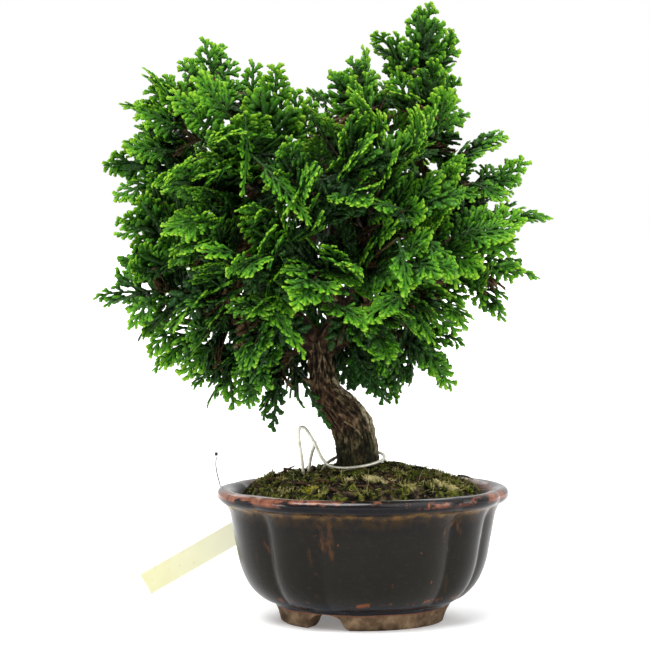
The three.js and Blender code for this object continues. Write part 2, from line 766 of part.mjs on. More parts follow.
const bonsai = new THREE.Group();
bonsai.add(meshOf(makePot(), "pot", materials.glaze));
bonsai.add(meshOf(makeDrainMesh(), "drain_mesh", materials.mesh));
bonsai.add(meshOf(largest(makeSoil().subtract(holes)), "soil", materials.soil));
bonsai.add(meshOf(largest(makeMoss().subtract(holes)), "moss", materials.moss));
bonsai.add(meshOf(wood, "trunk_and_branches", materials.bark));
bonsai.add(meshOf(trunkWire, "tie_wire", materials.aluminium));
bonsai.add(meshOf(wireStub, "tie_wire_stub", materials.aluminium));
bonsai.add(meshOf(makeLabel(), "plant_label", materials.label));
bonsai.add(
  meshOf(
    bentWire(labelWireLine, labelWire.radius, labelWire.sides, labelWire.steps),
    "label_wire",
    materials.aluminium,
  ),
);
bonsai.add(meshOf(makeWireCap(), "label_wire_cap", materials.cap));
for (const pad of pads) bonsai.add(meshOf(makePad(pad, clearWood), `foliage_${pad.name}`, materials.foliage));

const around = new THREE.Box3().setFromObject(bonsai);
bonsai.position.set(-(around.min.x + around.max.x) / 2, -(around.min.y + around.max.y) / 2, 0);

export default bonsai;
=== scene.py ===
import math
import bpy
import numpy as np
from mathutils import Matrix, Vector, noise


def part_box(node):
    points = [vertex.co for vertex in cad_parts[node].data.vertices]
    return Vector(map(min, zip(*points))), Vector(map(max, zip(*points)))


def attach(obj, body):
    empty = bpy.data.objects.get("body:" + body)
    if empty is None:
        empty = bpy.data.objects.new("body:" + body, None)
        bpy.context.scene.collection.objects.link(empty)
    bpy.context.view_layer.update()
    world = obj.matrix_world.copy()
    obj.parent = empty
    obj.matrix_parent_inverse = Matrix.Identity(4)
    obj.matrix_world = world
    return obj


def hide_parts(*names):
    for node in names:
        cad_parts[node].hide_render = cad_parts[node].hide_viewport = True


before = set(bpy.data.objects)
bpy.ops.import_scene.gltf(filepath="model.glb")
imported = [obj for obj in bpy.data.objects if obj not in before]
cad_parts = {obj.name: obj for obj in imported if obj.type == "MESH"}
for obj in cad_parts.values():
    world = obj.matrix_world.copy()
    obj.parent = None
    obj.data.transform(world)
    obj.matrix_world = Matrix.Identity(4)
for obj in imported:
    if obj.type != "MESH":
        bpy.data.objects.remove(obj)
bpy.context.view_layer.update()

mm = 0.001
tau = 2 * math.pi

# Everything is laid out in millimetres round the foot of the tree, and moved to the frame at the end.
potLow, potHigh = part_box("pot")
potAxis = 0.2      # the pot stands this far right of the tree's own axis
shift = np.array([(potLow.x + potHigh.x) / 2 / mm - potAxis, (potLow.y + potHigh.y) / 2 / mm, 0.0])


def draw(i, k):   # a number from 0 to 1 that is always the same for the same two whole numbers
    s = math.sin(i * 12.9898 + k * 78.233) * 43758.5453
    return s - math.floor(s)


def unit(v):
    return v / np.linalg.norm(v)


def square(v, axis):   # the unit vector nearest to v that is square to a unit axis
    return unit(v - axis * np.dot(v, axis))


def turned(v, axis, angle):   # v turned about a unit axis, in radians
    c, s = math.cos(angle), math.sin(angle)
    return v * c + np.cross(axis, v) * s + axis * np.dot(axis, v) * (1 - c)


def smoothRamp(x, low, high):
    t = np.clip((np.asarray(x, float) - low) / (high - low), 0, 1)
    return t * t * (3 - 2 * t)


def lengthOf(line):
    return np.linalg.norm(np.diff(line, axis=0), axis=1).sum()


def evenly(line, steps):   # the same line, with points at equal distances
    far = np.concatenate([[0], np.cumsum(np.linalg.norm(np.diff(line, axis=0), axis=1))])
    at = np.linspace(0, far[-1], steps + 1)
    return np.stack([np.interp(at, far, line[:, k]) for k in range(3)], axis=1)


def blend(a, b, low, high, x):   # a at low, b at high, and straight between them
    return (a * (high - x) + b * (x - low)) / (high - low)


def spline(points, steps):   # an even walk along a smooth line through the points
    p = np.array(points, float)
    p = np.vstack([2 * p[0] - p[1], p, 2 * p[-1] - p[-2]])
    stretches = []
    for four in zip(p, p[1:], p[2:], p[3:]):
        knots = np.cumsum([0] + [max(np.linalg.norm(b - a) ** 0.5, 1e-6) for a, b in zip(four, four[1:])])
        x = knots[1] + np.linspace(0, 1, 16, endpoint=False)[:, None] * (knots[2] - knots[1])
        legs = [blend(four[k], four[k + 1], knots[k], knots[k + 1], x) for k in range(3)]
        pair = [blend(legs[k], legs[k + 1], knots[k], knots[k + 2], x) for k in range(2)]
        stretches.append(blend(*pair, knots[1], knots[2], x))
    return evenly(np.vstack(stretches + [p[-2][None]]), steps)


def framesAlong(line):   # tangents, and two normals that don't twist
    tangents = np.gradient(line, axis=0)
    tangents /= np.linalg.norm(tangents, axis=1)[:, None]
    normals = [np.array([0.0, 1.0, 0.0])]
    for tangent in tangents:
        normals.append(square(normals[-1], tangent))
    normals = np.array(normals[1:])
    return tangents, normals, np.cross(tangents, normals)


def around(count, turn=tau):   # equal steps round a turn, which is in radians unless told otherwise
    return np.arange(count) / count * turn


def stacked(x, y, z):   # points from their coordinates, each a number or an array
    return np.stack(np.broadcast_arrays(x, y, z), axis=-1)


# ---- meshes and materials

def newObject(name, data):
    thing = bpy.data.objects.new(name, data)
    bpy.context.scene.collection.objects.link(thing)
    return thing


class Skin:   # gathers the closed bodies of one mesh: points in millimetres, faces, values at the points
    def __init__(self):
        self.points, self.quads, self.tris, self.values, self.count = [], [], [], {}, 0

    def add(self, points, quads, tris, **values):
        self.quads.append(np.reshape(quads, (-1, 4)).astype(np.int64) + self.count)
        self.tris.append(np.reshape(tris, (-1, 3)).astype(np.int64) + self.count)
        for name in sorted(set(self.values) | set(values)):
            full = np.broadcast_to(values.get(name, 0.0), points.shape[:-1]).ravel()
            self.values.setdefault(name, [np.zeros(self.count)]).append(full)
        self.points.append(points.reshape(-1, 3))
        self.count += points.size // 3

    def addMany(self, points, quads, tris, **values):   # bodies alike but for their points, one to a row
        offset = (np.arange(len(points)) * (points[0].size // 3))[:, None, None]
        self.add(points, quads[None] + offset, tris[None] + offset, **values)

    def build(self, name, material, slot, replaced):   # gives back how many triangles the piece has
        quads, tris = np.vstack(self.quads), np.vstack(self.tris)
        mesh = bpy.data.meshes.new(name)
        mesh.vertices.add(self.count)
        mesh.vertices.foreach_set("co", ((np.vstack(self.points) + shift) * mm).astype(np.float32).ravel())
        mesh.loops.add(quads.size + tris.size)
        corners = np.concatenate([quads.ravel(), tris.ravel()])
        mesh.loops.foreach_set("vertex_index", corners.astype(np.int32))
        mesh.polygons.add(len(quads) + len(tris))
        starts = np.concatenate([np.arange(len(quads)) * 4, quads.size + np.arange(len(tris)) * 3])
        mesh.polygons.foreach_set("loop_start", starts.astype(np.int32))
        mesh.polygons.foreach_set("use_smooth", np.full(len(starts), True))
        mesh.update(calc_edges=True)
        mesh.validate()
        for key, parts in self.values.items():
            layer = mesh.attributes.new(key, "FLOAT", "POINT")
            layer.data.foreach_set("value", np.concatenate(parts).astype(np.float32))
        mesh.materials.append(material)
        piece = newObject(name, mesh)
        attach(piece, "root")
        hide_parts(replaced)
        return 2 * len(quads) + len(tris)


def ringFaces(rings, sides):   # quads between rings, and a fan of triangles at each end
    r, s = np.meshgrid(np.arange(rings - 1), np.arange(sides), indexing="ij")
    a = (r * sides + s).ravel()
    b = (r * sides + (s + 1) % sides).ravel()
    quads = np.stack([a, b, b + sides, a + sides], axis=1)
    fan = np.array([[0, k + 1, k] for k in range(1, sides - 1)])
    lid = (rings - 1) * sides + fan[:, [0, 2, 1]]
    return quads, np.vstack([fan, lid])


def waysOut(line, sides):   # from each point of a line, the unit vectors to its ring's corners
    _, normal, side = framesAlong(line)
    angle = around(sides)[None, :, None]
    return normal[:, None] * np.cos(angle) + side[:, None] * np.sin(angle)


def tube(skin, line, radius, sides, **values):   # radius: one number, or one for each point of the line
    radius = np.broadcast_to(radius, (len(line),))[:, None, None]
    skin.add(line[:, None] + waysOut(line, sides) * radius, *ringFaces(len(line), sides), **values)


def opaque(value):   # a grey or a colour, with alpha
    return (*value, 1) if isinstance(value, tuple) else (value, value, value, 1)


class Nodes:   # short ways to lay out a node tree
    def __init__(self, tree):
        self.tree = tree

    def feed(self, socket, value):   # from another socket, or as a constant
        if isinstance(value, bpy.types.NodeSocket):
            self.tree.links.new(value, socket)
        else:
            socket.default_value = opaque(value) if socket.type == "RGBA" else value

    def add(self, kind, inputs=None, **settings):
        node = self.tree.nodes.new(kind)
        for key, value in settings.items():
            setattr(node, key, value)
        for key, value in (inputs or {}).items():
            self.feed(node.inputs[key], value)
        return node

    def value(self, name):
        return self.add("ShaderNodeAttribute", attribute_name=name).outputs["Fac"]

    def place(self):
        return self.add("ShaderNodeTexCoord").outputs["Object"]

    def math(self, operation, a, b=0.5, clamp=False):
        return self.add("ShaderNodeMath", {0: a, 1: b}, operation=operation, use_clamp=clamp).outputs[0]

    def times(self, first, *others):
        for other in others:
            first = self.math("MULTIPLY", first, other)
        return first

    def plus(self, a, b):
        return self.math("ADD", a, b)

    def swing(self, noise, size):   # as much below nought as above it
        return self.times(self.math("SUBTRACT", noise, 0.5), size)

    def ramp(self, factor, stops):
        node = self.add("ShaderNodeValToRGB", {"Fac": factor})
        elements = node.color_ramp.elements
        while len(elements) < len(stops):
            elements.new(1.0)
        for element, (at, colour) in zip(elements, stops):
            element.position = at
            element.color = opaque(colour)
        return node.outputs["Color"]

    def tones(self, noise, low, high):   # from low to high over the middle of a noise
        return self.ramp(noise, [(0.3, low), (0.7, high)])

    def mix(self, factor, a, b):
        return self.add("ShaderNodeMix", {0: factor, 6: a, 7: b}, data_type="RGBA").outputs[2]

    def noise(self, scale, place=None, detail=3.0, rough=0.55, stretch=None):
        place = place or self.place()
        if stretch:
            place = self.add("ShaderNodeMapping", {"Vector": place, "Scale": stretch}).outputs[0]
        return self.add("ShaderNodeTexNoise", {
            "Vector": place, "Scale": scale, "Detail": detail, "Roughness": rough}).outputs["Fac"]

    def bump(self, height, strength, distance):
        return self.add("ShaderNodeBump", {
            "Height": height, "Strength": strength, "Distance": distance}).outputs["Normal"]

    def grouped(self, group, inputs):
        return self.add("ShaderNodeGroup", inputs, node_tree=group).outputs

    def shade(self, inputs):   # what the surface shader takes in
        for key, value in inputs.items():
            self.feed(self.tree.nodes["Principled BSDF"].inputs[key], value)


def newMaterial(name):
    material = bpy.data.materials.new(name)
    material.use_nodes = True
    return material, Nodes(material.node_tree)


def sharedGroup(name, ins, outs):   # an empty group, what it is given, and where its results go
    group = bpy.data.node_groups.new(name, "ShaderNodeTree")
    for label, value in ins:
        socket = group.interface.new_socket(name=label, in_out="INPUT", socket_type="NodeSocketFloat")
        socket.default_value = value
    for label in outs:
        group.interface.new_socket(name=label, in_out="OUTPUT", socket_type="NodeSocketFloat")
    return group, group.nodes.new("NodeGroupInput").outputs, group.nodes.new("NodeGroupOutput").inputs


def makeSpeckleGroup():   # fine grains of two sizes, as a mask and as a height
    inputs = [("Scale", 400.0), ("Amount", 0.5)]
    group, given, result = sharedGroup("speckle", inputs, ["Mask", "Height"])
    n = Nodes(group)
    fine = n.noise(given["Scale"], detail=4.0, rough=0.7)
    coarse = n.noise(n.times(given["Scale"], 0.28), detail=2.0)
    both = n.plus(n.times(fine, 0.6), n.times(coarse, 0.4))
    sharp = n.math("SUBTRACT", both, n.math("SUBTRACT", 0.72, n.times(given["Amount"], 0.4)))
    n.feed(result["Mask"], n.math("MULTIPLY", sharp, 9.0, clamp=True))
    n.feed(result["Height"], both)
    return group


def makeScaleLeafGroup():   # pairs of scale leaves along a shoot: a mask of the joints, and a height
    inputs = [("Along", 0.0), ("Across", 0.0)]
    group, given, result = sharedGroup("scaleLeaves", inputs, ["Joint", "Height"])
    n = Nodes(group)
    across = n.math("ABSOLUTE", given["Across"])
    scale = n.math("FRACT", n.plus(given["Along"], n.times(across, -0.35)))
    joint = n.math("POWER", n.math("SUBTRACT", 1.0, scale), 5.0)
    n.feed(result["Joint"], joint)
    n.feed(result["Height"], n.times(n.math("POWER", scale, 0.6), n.math("SUBTRACT", 1.0, joint)))
    return group


speckle = makeSpeckleGroup()
scaleLeaves = makeScaleLeafGroup()
print("shared node groups made")

# ---- the stage: camera, floor, lights

stage = {
    "camera": (-17.2, -1100.0, 185.0), "aimAt": (-17.2, 0.0, 134.0), "frameHeight": 294.5, "sensor": 36,
    "floorRadius": 12.0, "floorCorners": 96, "floorGlow": 0.2,
    "front": 0.2, "side": 0.55, "behind": 0.85,   # how bright the room is on each side of the tree
    # where each light shines from, how many degrees it fills, and its strength
    "lights": {
        "keyLight": ((-0.5, -1.0, 2.0), 40, 3.5),
        "fillLight": ((1.2, -0.9, 0.9), 60, 1.1),
        "backLight": ((-0.3, 1.1, 1.6), 60, 1.3),
        "leftStrip": ((-0.9, -0.5, 0.1), 18, 0.8),
        "rightStrip": ((0.95, -0.3, 0.15), 20, 0.35),
    },
}


def lookAlong(way):
    return way.to_track_quat("-Z", "Y").to_euler()


def makeCamera():
    camera = newObject("camera", bpy.data.cameras.new("camera"))
    at, aim = Vector(stage["camera"]) + Vector(shift), Vector(stage["aimAt"]) + Vector(shift)
    camera.location = at * mm
    camera.rotation_euler = lookAlong(aim - at)
    camera.data.sensor_width = stage["sensor"]
    camera.data.lens = stage["sensor"] * (aim - at).length / stage["frameHeight"]
    camera.data.clip_start, camera.data.clip_end = 0.05, 60
    bpy.context.scene.camera = camera


def makeFloor():
    floor = bpy.data.meshes.new("floor")
    ring = [(stage["floorRadius"] * math.cos(a), stage["floorRadius"] * math.sin(a), 0)
            for a in around(stage["floorCorners"])]
    floor.from_pydata(ring, [], [list(range(len(ring)))])
    material, n = newMaterial("floor")
    n.shade({
        "Base Color": n.ramp(n.noise(3.0, detail=2.0), [(0.0, 0.90), (1.0, 0.93)]), "Roughness": 0.75,
        "Emission Color": 1.0, "Emission Strength": stage["floorGlow"]})
    floor.materials.append(material)
    newObject("floor", floor)


def makeLights():
    for name, (at, spread, strength) in stage["lights"].items():
        light = newObject(name, bpy.data.lights.new(name, "SUN"))
        light.data.angle = math.radians(spread)
        light.data.energy = strength
        light.location = at
        light.rotation_euler = lookAlong(-Vector(at))

    world = bpy.data.worlds.new("studio")
    bpy.context.scene.world = world
    world.use_nodes = True
    n = Nodes(world.node_tree)
    seen = n.add("ShaderNodeLightPath").outputs["Is Camera Ray"]
    way = n.add("ShaderNodeSeparateXYZ", {0: n.add("ShaderNodeTexCoord").outputs["Generated"]})
    room = n.ramp(n.plus(n.times(way.outputs["Y"], 0.5), 0.5), [
        (0.0, stage["front"]), (0.5, stage["side"]), (1.0, stage["behind"])])
    n.feed(world.node_tree.nodes["Background"].inputs["Color"], n.mix(seen, room, 1.0))


makeCamera()
makeFloor()
makeLights()
bpy.context.scene.view_settings.view_transform = "Standard"
print("stage made")

# ---- the pot

pot = {
    "turn": 11.8, "depthShare": 0.9, "bigLobe": 62.0, "groove": 0.052, "columns": 264,
    # the openings in the foot: where they face, how wide they are at the table and at the top, and how high;
    # only what is below the foot's top and outside its inner wall is cut, and no higher than the deepest cut
    "footArches": (-29, 91, 211), "archFoot": 21.0, "archTop": 12.0, "archHeight": 7.2, "archesFrom": 15.0,
    "footTop": 9.0, "footInside": 20.0, "footSlope": 8.0 / 39, "deepestCut": 7.4,
    "unevenLip": 0.35, "unevenBetween": (45, 60), "clayTop": 7.5, "rampTop": 62.0,
    # radius, height, how strongly the lobes show, points to the next corner
    "profile": (
        (6, 6, 0, 2), (27.5, 6, 0, 2), (28.4, 1.2, 0, 1), (29.4, 0, 0, 3), (36.6, 0, 0.05, 1),
        (37.6, 0.7, 0.05, 2), (38.3, 3.4, 0.1, 3), (39.2, 6.2, 0.15, 3), (41.2, 8.8, 0.45, 3),
        (46.6, 11.4, 0.85, 4), (52.2, 17.2, 1, 5), (56.2, 26, 1, 6), (58.6, 38, 1, 5), (60.1, 46.4, 0.95, 3),
        (61.1, 50.4, 0.75, 3), (62.8, 53.4, 0.55, 2), (64.5, 54.4, 0.45, 2), (66.1, 56, 0.4, 2),
        (66.6, 57.8, 0.4, 2), (65.9, 59.6, 0.4, 2), (64.2, 60.6, 0.4, 2), (61.8, 60.5, 0.4, 2),
        (59.6, 59.1, 0.5, 3), (57.3, 55.4, 0.7, 3), (54.7, 50, 0.9, 4), (52, 30, 0.9, 4), (46, 15, 0.5, 3),
        (37, 11, 0.1, 3), (6, 11, 0, 1),
    ),
}


def grooveAt(degrees):   # 0 on a lobe's crest, 1 in a groove
    half = pot["bigLobe"] / 2
    local = (degrees + half) % 90 - half
    onBig = local <= half
    return np.abs(np.where(onBig, local / half, (local - 45) / (45 - half))) ** np.where(onBig, 3.4, 2.2)


def lobePoint(radius, lobing, degrees):   # plan position of a lobed outline, in millimetres
    shape = radius * (1 - lobing * pot["groove"] * grooveAt(degrees))
    a = np.radians(degrees)
    x, y = shape * np.sin(a), -shape * pot["depthShare"] * np.cos(a)
    c, s = math.cos(math.radians(pot["turn"])), math.sin(math.radians(pot["turn"]))
    return c * x - s * y + potAxis, s * x + c * y


def archRoof(x, y):   # how high the foot is cut away at a place under the pot
    half, top = pot["archFoot"] / 2, pot["archTop"] / 2
    roof = np.zeros_like(x)
    for a in np.radians(pot["footArches"]):
        outward = x * math.sin(a) - y * math.cos(a)
        aside = np.abs(x * math.cos(a) + y * math.sin(a))
        shoulder = pot["archHeight"] * 0.8 * (1 - smoothRamp(aside, top, half)) ** 1.3
        crest = pot["archHeight"] * 0.2 * np.clip(1 - (aside / top) ** 2, 0, 1)
        roof = np.where(outward > pot["archesFrom"], np.maximum(roof, shoulder + crest), roof)
    return roof


def potRows():   # a smooth line through the profile's corners
    corners = np.array(pot["profile"], float)[:, :3]
    padded = np.vstack([corners[:1], corners, corners[-1:]])
    rows = []
    for k, (_, _, _, parts) in enumerate(pot["profile"][:-1]):
        a, b, c, d = padded[k:k + 4]
        for t in np.arange(parts) / parts:
            rows.append(0.5 * (2 * b + (c - a) * t + (2 * a - 5 * b + 4 * c - d) * t * t
                               + (3 * b - a - 3 * c + d) * t ** 3))
    return np.array(rows + [corners[-1]])


def makePot(material):
    radius, height, lobing = potRows().T[:, :, None]
    count = pot["columns"]
    degrees = around(count, 360)
    x, y = lobePoint(radius, lobing, degrees)
    z = height + 0 * x
    outside = np.hypot(x - potAxis, y) > pot["footInside"]
    inFoot = outside & (z < pot["footTop"]) & (z < pot["footSlope"] * radius)
    z = np.where(inFoot, np.maximum(z, np.minimum(archRoof(x - potAxis, y), pot["deepestCut"])), z)
    wave = [noise.noise(Vector((math.cos(a) * 2.2, math.sin(a) * 2.2, 0))) for a in np.radians(degrees)]
    z = z + np.array(wave) * pot["unevenLip"] * smoothRamp(z, *pot["unevenBetween"])

    quads = ringFaces(len(z), count)[0]
    s = np.arange(count)
    top = (len(z) - 1) * count
    closing = np.stack([top + s, top + (s + 1) % count, (s + 1) % count, s], axis=1)
    skin = Skin()
    skin.add(stacked(x, y, z), np.vstack([quads, closing]), [], height=z, groove=grooveAt(degrees) * lobing)
    return skin.build("potBody", material, "glaze", "pot")


def byHeight(n, height, stops):   # a ramp whose stops are heights in millimetres
    top = pot["rampTop"]
    return n.ramp(n.math("DIVIDE", height, top), [(at / top, value) for at, value in stops])


def glazeBody(n, place, level):   # under the lip it thins to ochre, and it pools blue-black round the foot
    body = n.ramp(n.noise(30, place, detail=5.0), [
        (0.25, 0.003), (0.5, (0.008, 0.007, 0.005)), (0.75, (0.016, 0.014, 0.010))])
    bands = byHeight(n, level, [
        (0, (0.003, 0.004, 0.007)), (11.5, (0.004, 0.006, 0.012)), (14, (0.008, 0.007, 0.005)),
        (47, (0.010, 0.008, 0.006)), (51.5, (0.030, 0.017, 0.006)), (53.3, (0.120, 0.062, 0.015)),
        (54.4, (0.026, 0.015, 0.007)), (55.4, (0.005, 0.005, 0.007)), (62, (0.011, 0.008, 0.007))])
    return n.mix(n.math("GREATER_THAN", level, 42.0), n.mix(0.65, body, bands), bands)


def withRust(n, place, height, colour):   # breaks along the lip, and specks and runs beside the grooves
    patch = n.noise(42, place, detail=4.0, rough=0.6, stretch=(1, 1, 2.2))
    onLip = byHeight(n, height, [(56.2, 0.0), (57.9, 1.0), (60.2, 1.0), (60.6, 0.2)])
    rust = n.tones(n.noise(260, place), (0.090, 0.026, 0.012), (0.29, 0.110, 0.062))
    colour = n.mix(n.times(onLip, n.ramp(patch, [(0.48, 0.0), (0.52, 1.0)])), colour, rust)

    runs = n.ramp(n.noise(240, place, detail=4.0, stretch=(1, 1, 0.4)), [(0.58, 0.0), (0.68, 1.0)])
    beside = n.ramp(n.value("groove"), [(0.25, 0.0), (0.55, 1.0), (0.9, 1.0), (1.0, 0.35)])
    upper = byHeight(n, height, [(22, 0.25), (46, 1.0)])
    colour = n.mix(n.times(runs, beside, upper, 0.6), colour, (0.105, 0.042, 0.011))
    dots = n.ramp(n.noise(300, place, detail=2.0, stretch=(1, 1, 0.7)), [(0.70, 0.0), (0.74, 1.0)])
    few = n.ramp(n.noise(38, place), [(0.50, 0.0), (0.60, 1.0)])
    return n.mix(n.times(dots, few, 0.7), colour, (0.24, 0.070, 0.018))


def withMottling(n, place, height, colour):   # black under the lip, and a thin pale dust all over
    mottled = n.ramp(n.noise(210, place, detail=5.0, rough=0.7), [(0.42, 0.75), (0.55, 0.0)])
    shoulder = byHeight(n, height, [(42, 0.0), (48, 1.0), (54, 1.0), (56, 0.2)])
    colour = n.mix(n.times(mottled, shoulder), colour, (0.006, 0.006, 0.007))
    dust = n.ramp(n.noise(700, place, stretch=(0.6, 0.6, 1)), [(0.55, 0.0), (0.75, 0.22)])
    return n.mix(dust, colour, (0.034, 0.032, 0.028))


def withPooling(n, place, level, grit, colour):   # blue flecks round the foot, and a broken rust line
    pooled = byHeight(n, level, [(11.5, 1.0), (13.5, 0.0)])
    colour = n.mix(n.times(pooled, grit["Mask"], 0.5), colour, (0.045, 0.065, 0.11))
    line = byHeight(n, level, [(12.2, 0.0), (13.0, 1.0), (13.6, 1.0), (14.4, 0.0)])
    dashes = n.ramp(n.noise(130, place, stretch=(1, 1, 0.2)), [(0.55, 0.0), (0.62, 1.0)])
    return n.mix(n.times(line, dashes, 0.7), colour, (0.17, 0.050, 0.014))


def bareClay(n, place, edge, grit):   # below the glaze, reddened where they meet
    clay = n.ramp(n.noise(150, place, detail=5.0), [
        (0.32, (0.040, 0.024, 0.013)), (0.5, (0.120, 0.078, 0.045)), (0.68, (0.240, 0.160, 0.095))])
    clay = n.mix(n.times(grit["Mask"], 0.5), clay, (0.07, 0.035, 0.022))
    return n.mix(byHeight(n, edge, [(6.2, 0.0), (7.3, 0.65)]), clay, (0.120, 0.040, 0.024))


def makeGlaze():
    material, n = newMaterial("tenmokuGlaze")
    place, height = n.place(), n.value("height")
    wander = n.noise(70, place, detail=5.0, stretch=(1, 1, 0.5))
    level, edge = n.plus(height, n.swing(wander, 6.5)), n.plus(height, n.swing(wander, 1.6))
    grit = n.grouped(speckle, {"Scale": 900.0, "Amount": 0.35})
    bare = n.math("LESS_THAN", edge, pot["clayTop"])
    colour = withRust(n, place, height, glazeBody(n, place, level))
    colour = withPooling(n, place, level, grit, withMottling(n, place, height, colour))
    ripple = n.plus(n.times(n.noise(38, place, detail=2.0), 0.8), n.times(grit["Height"], bare, 0.9))
    n.shade({
        "Base Color": n.mix(bare, colour, bareClay(n, place, edge, grit)),
        "Roughness": n.mix(bare, n.tones(n.noise(140, place, detail=4.0), 0.17, 0.27), 0.85),
        "Coat Weight": n.times(byHeight(n, height, [(57.2, 0.0), (59.0, 1.0)]), 0.6), "Coat Roughness": 0.1,
        "Specular IOR Level": 0.1, "Normal": n.bump(ripple, 0.35, 0.0012)})
    return material


potTriangles = makePot(makeGlaze())
print("pot made:", potTriangles)

# ---- the limbs, the same lines as the solids'

# radii from the root to the tip, corners round them, millimetres from ring to ring, and the middle line
limbs = {
    "trunk": {
        "radii": (8.2, 8.5, 9.1, 9.2, 7.4, 5.4, 4.9), "sides": 96, "step": 0.55,
        "line": ((2, 0, 46), (0, 0, 60), (-1.4, 0, 70), (-2.1, 0, 77), (-3.4, -0.4, 84), (-6, -0.8, 90.5),
                 (-12, -1, 97.3), (-16.5, -0.6, 104.2), (-18.2, 0, 111), (-19.5, 0, 118), (-21, 0, 127)),
    },
    "leaderRight": {
        "radii": (4.4, 3.6, 1.6), "sides": 20, "step": 1.6,
        "line": ((-20, 0, 122), (-15, -1, 131), (-5, -1, 143), (4, 1, 163), (11, 2, 190), (17, 2, 216),
                 (22, 1, 236)),
    },
    "leaderLeft": {
        "radii": (4.4, 3.4, 1.6), "sides": 20, "step": 1.6,
        "line": ((-20.5, 0, 122), (-26, -1, 132), (-37, -2, 144), (-49, -1, 162), (-57, 1, 186),
                 (-63, 3, 210), (-66, 4, 224)),
    },
    "armLeft": {
        "radii": (3, 2.6, 1.7), "sides": 16, "step": 1.6,
        "line": ((-21, -1, 123), (-34, -7, 130.5), (-50, -9, 132), (-66, -8, 137), (-80, -4, 146)),
    },
    "armRight": {
        "radii": (3, 2.4, 1.5), "sides": 16, "step": 1.6,
        "line": ((-19.5, 1, 119), (-8, 4, 127), (8, 3, 134), (24, 1, 141), (42, -1, 154)),
    },
    "armBack": {
        "radii": (3, 2.5, 1.6), "sides": 16, "step": 1.6,
        "line": ((-20, 1, 121), (-22, 12, 131), (-24, 24, 143), (-25, 34, 160), (-22, 38, 182)),
    },
    "armFront": {
        "radii": (2.8, 2.2, 1.5), "sides": 16, "step": 1.6,
        "line": ((-14, -2, 135), (-13, -13, 146), (-15, -24, 158), (-14, -31, 174), (-12, -34, 192)),
    },
}
limbSteps = 400

# ---- where the foliage pads are: the middle of each, and how far it reaches

pads = {
    "left_top": (-66, 4, 243, 22), "left_shoulder": (-93, -6, 231, 21), "left_upper": (-97, 6, 210, 21),
    "left_middle": (-101, -8, 179, 22), "left_low": (-99, 4, 148, 21), "low_left": (-80, -5, 127, 21),
    "low_left_front": (-62, 4, 114, 20), "droop_left": (-41, -5, 107, 20), "droop_right": (5, 10, 114, 18),
    "low_right": (29, -5, 120, 19), "right_low": (32, 8, 140, 18), "right_middle": (60, -8, 161, 22),
    "right_tip": (64, 4, 188, 21), "right_upper": (57, -5, 205, 21), "right_shoulder": (35, 12, 224, 20),
    "spire_side": (30, -8, 240, 18), "spire": (32, 0, 266, 16), "right_top": (2, -5, 239, 21),
    "front_left_top": (-60, -42, 225, 20), "front_left_upper": (-75, -44, 208, 21),
    "front_left": (-80, -46, 178, 22), "front_centre_left": (-52, -58, 170, 22),
    "front_left_low": (-76, -42, 150, 21), "front_low_left": (-54, -46, 132, 20),
    "front_centre_top": (-32, -60, 192, 22), "front_centre": (-20, -62, 162, 22),
    "front_upper": (-8, -58, 208, 21), "front_right_top": (13, -44, 224, 21),
    "front_right_upper": (19, -56, 194, 22), "front_right": (41, -42, 177, 21),
    "front_centre_right": (12, -60, 166, 21), "front_right_low": (27, -44, 148, 18),
    "front_low": (8, -46, 135, 19),
}
backDome = {
    "count": 10, "middle": (-18, 0, 184), "across": 66, "deep": 60, "tall": 58, "reach": 23,
    "firstAngle": 0.9,
}
# the pads are drawn in towards the middle and grow away from the heart; the perches begin and end at
# shares of a limb's length
crown = {
    "middle": np.array([-17.0, 0.0, 183.0]), "drawIn": 0.93, "heart": np.array([-18.0, 0.0, 150.0]),
    "trunkPerchFrom": 0.93, "perchFrom": 0.3, "perchTo": 0.96, "perchSpacing": 6.8, "shortestTwig": 9.0,
}
frond = {
    "setBack": 1.9, "ahead": 1.05, "stalk": 8.0, "tip": 0.88,
    "fan": (-30, 0, 30), "rise": (-38, -10, 18), "springs": (2.2, 8, 6.6), "roll": 90, "climbingRoll": 80,
    # the share of its room in which a pad isn't drawn in, and how far past halfway to a neighbour it may go
    "free": 0.8, "loose": 3.5,
    # the small fans on a frond: where along its rib, degrees aside, length as a share of the frond's,
    # how far below the rib, and how young; then the plainer ones underneath, given less youth so that they
    # are darker, as painted shade
    "fans": ((0.56, 0, 0.40, 0, 1.0), (0.12, 54, 0.38, 0, 0.85), (0.20, -50, 0.40, 0, 0.85),
             (0.35, 44, 0.39, 0, 1.0), (0.44, -40, 0.37, 0, 1.0), (0.64, 34, 0.27, 0, 1.0)),
    "underFans": ((0.10, 20, 0.46, 1.5, 0.62), (0.28, -24, 0.46, 2.5, 0.62), (0.42, 18, 0.40, 1.5, 0.62),
                  (0.20, -70, 0.36, 2.0, 0.62)),
}


def addBackPads():   # spread over a dome behind the tree
    count = backDome["count"]
    x, y, z = backDome["middle"]
    for i in range(count):
        angle = i * math.pi * (3 - math.sqrt(5)) + backDome["firstAngle"]
        out = math.sqrt((i + 0.5) / count)
        pads[f"back_{i + 1}"] = (
            x + backDome["across"] * out * math.cos(angle),
            y + backDome["deep"] * math.sqrt(1 - 0.55 * out * out),
            z + backDome["tall"] * out * math.sin(angle), backDome["reach"])


def makePerches():   # places along the limbs where a twig may spring
    perches = []
    for name, spec in limbs.items():
        line = spline(spec["line"], limbSteps)
        first = crown["trunkPerchFrom"] if name == "trunk" else crown["perchFrom"]
        count = math.ceil((1 - first) * lengthOf(line) / crown["perchSpacing"]) + 1
        tangents = framesAlong(line)[0]
        for i in range(count):
            at = round((first + (crown["perchTo"] - first) * (i / (count - 1))) * limbSteps)
            perches.append({"at": line[at], "heading": tangents[at]})
    return perches


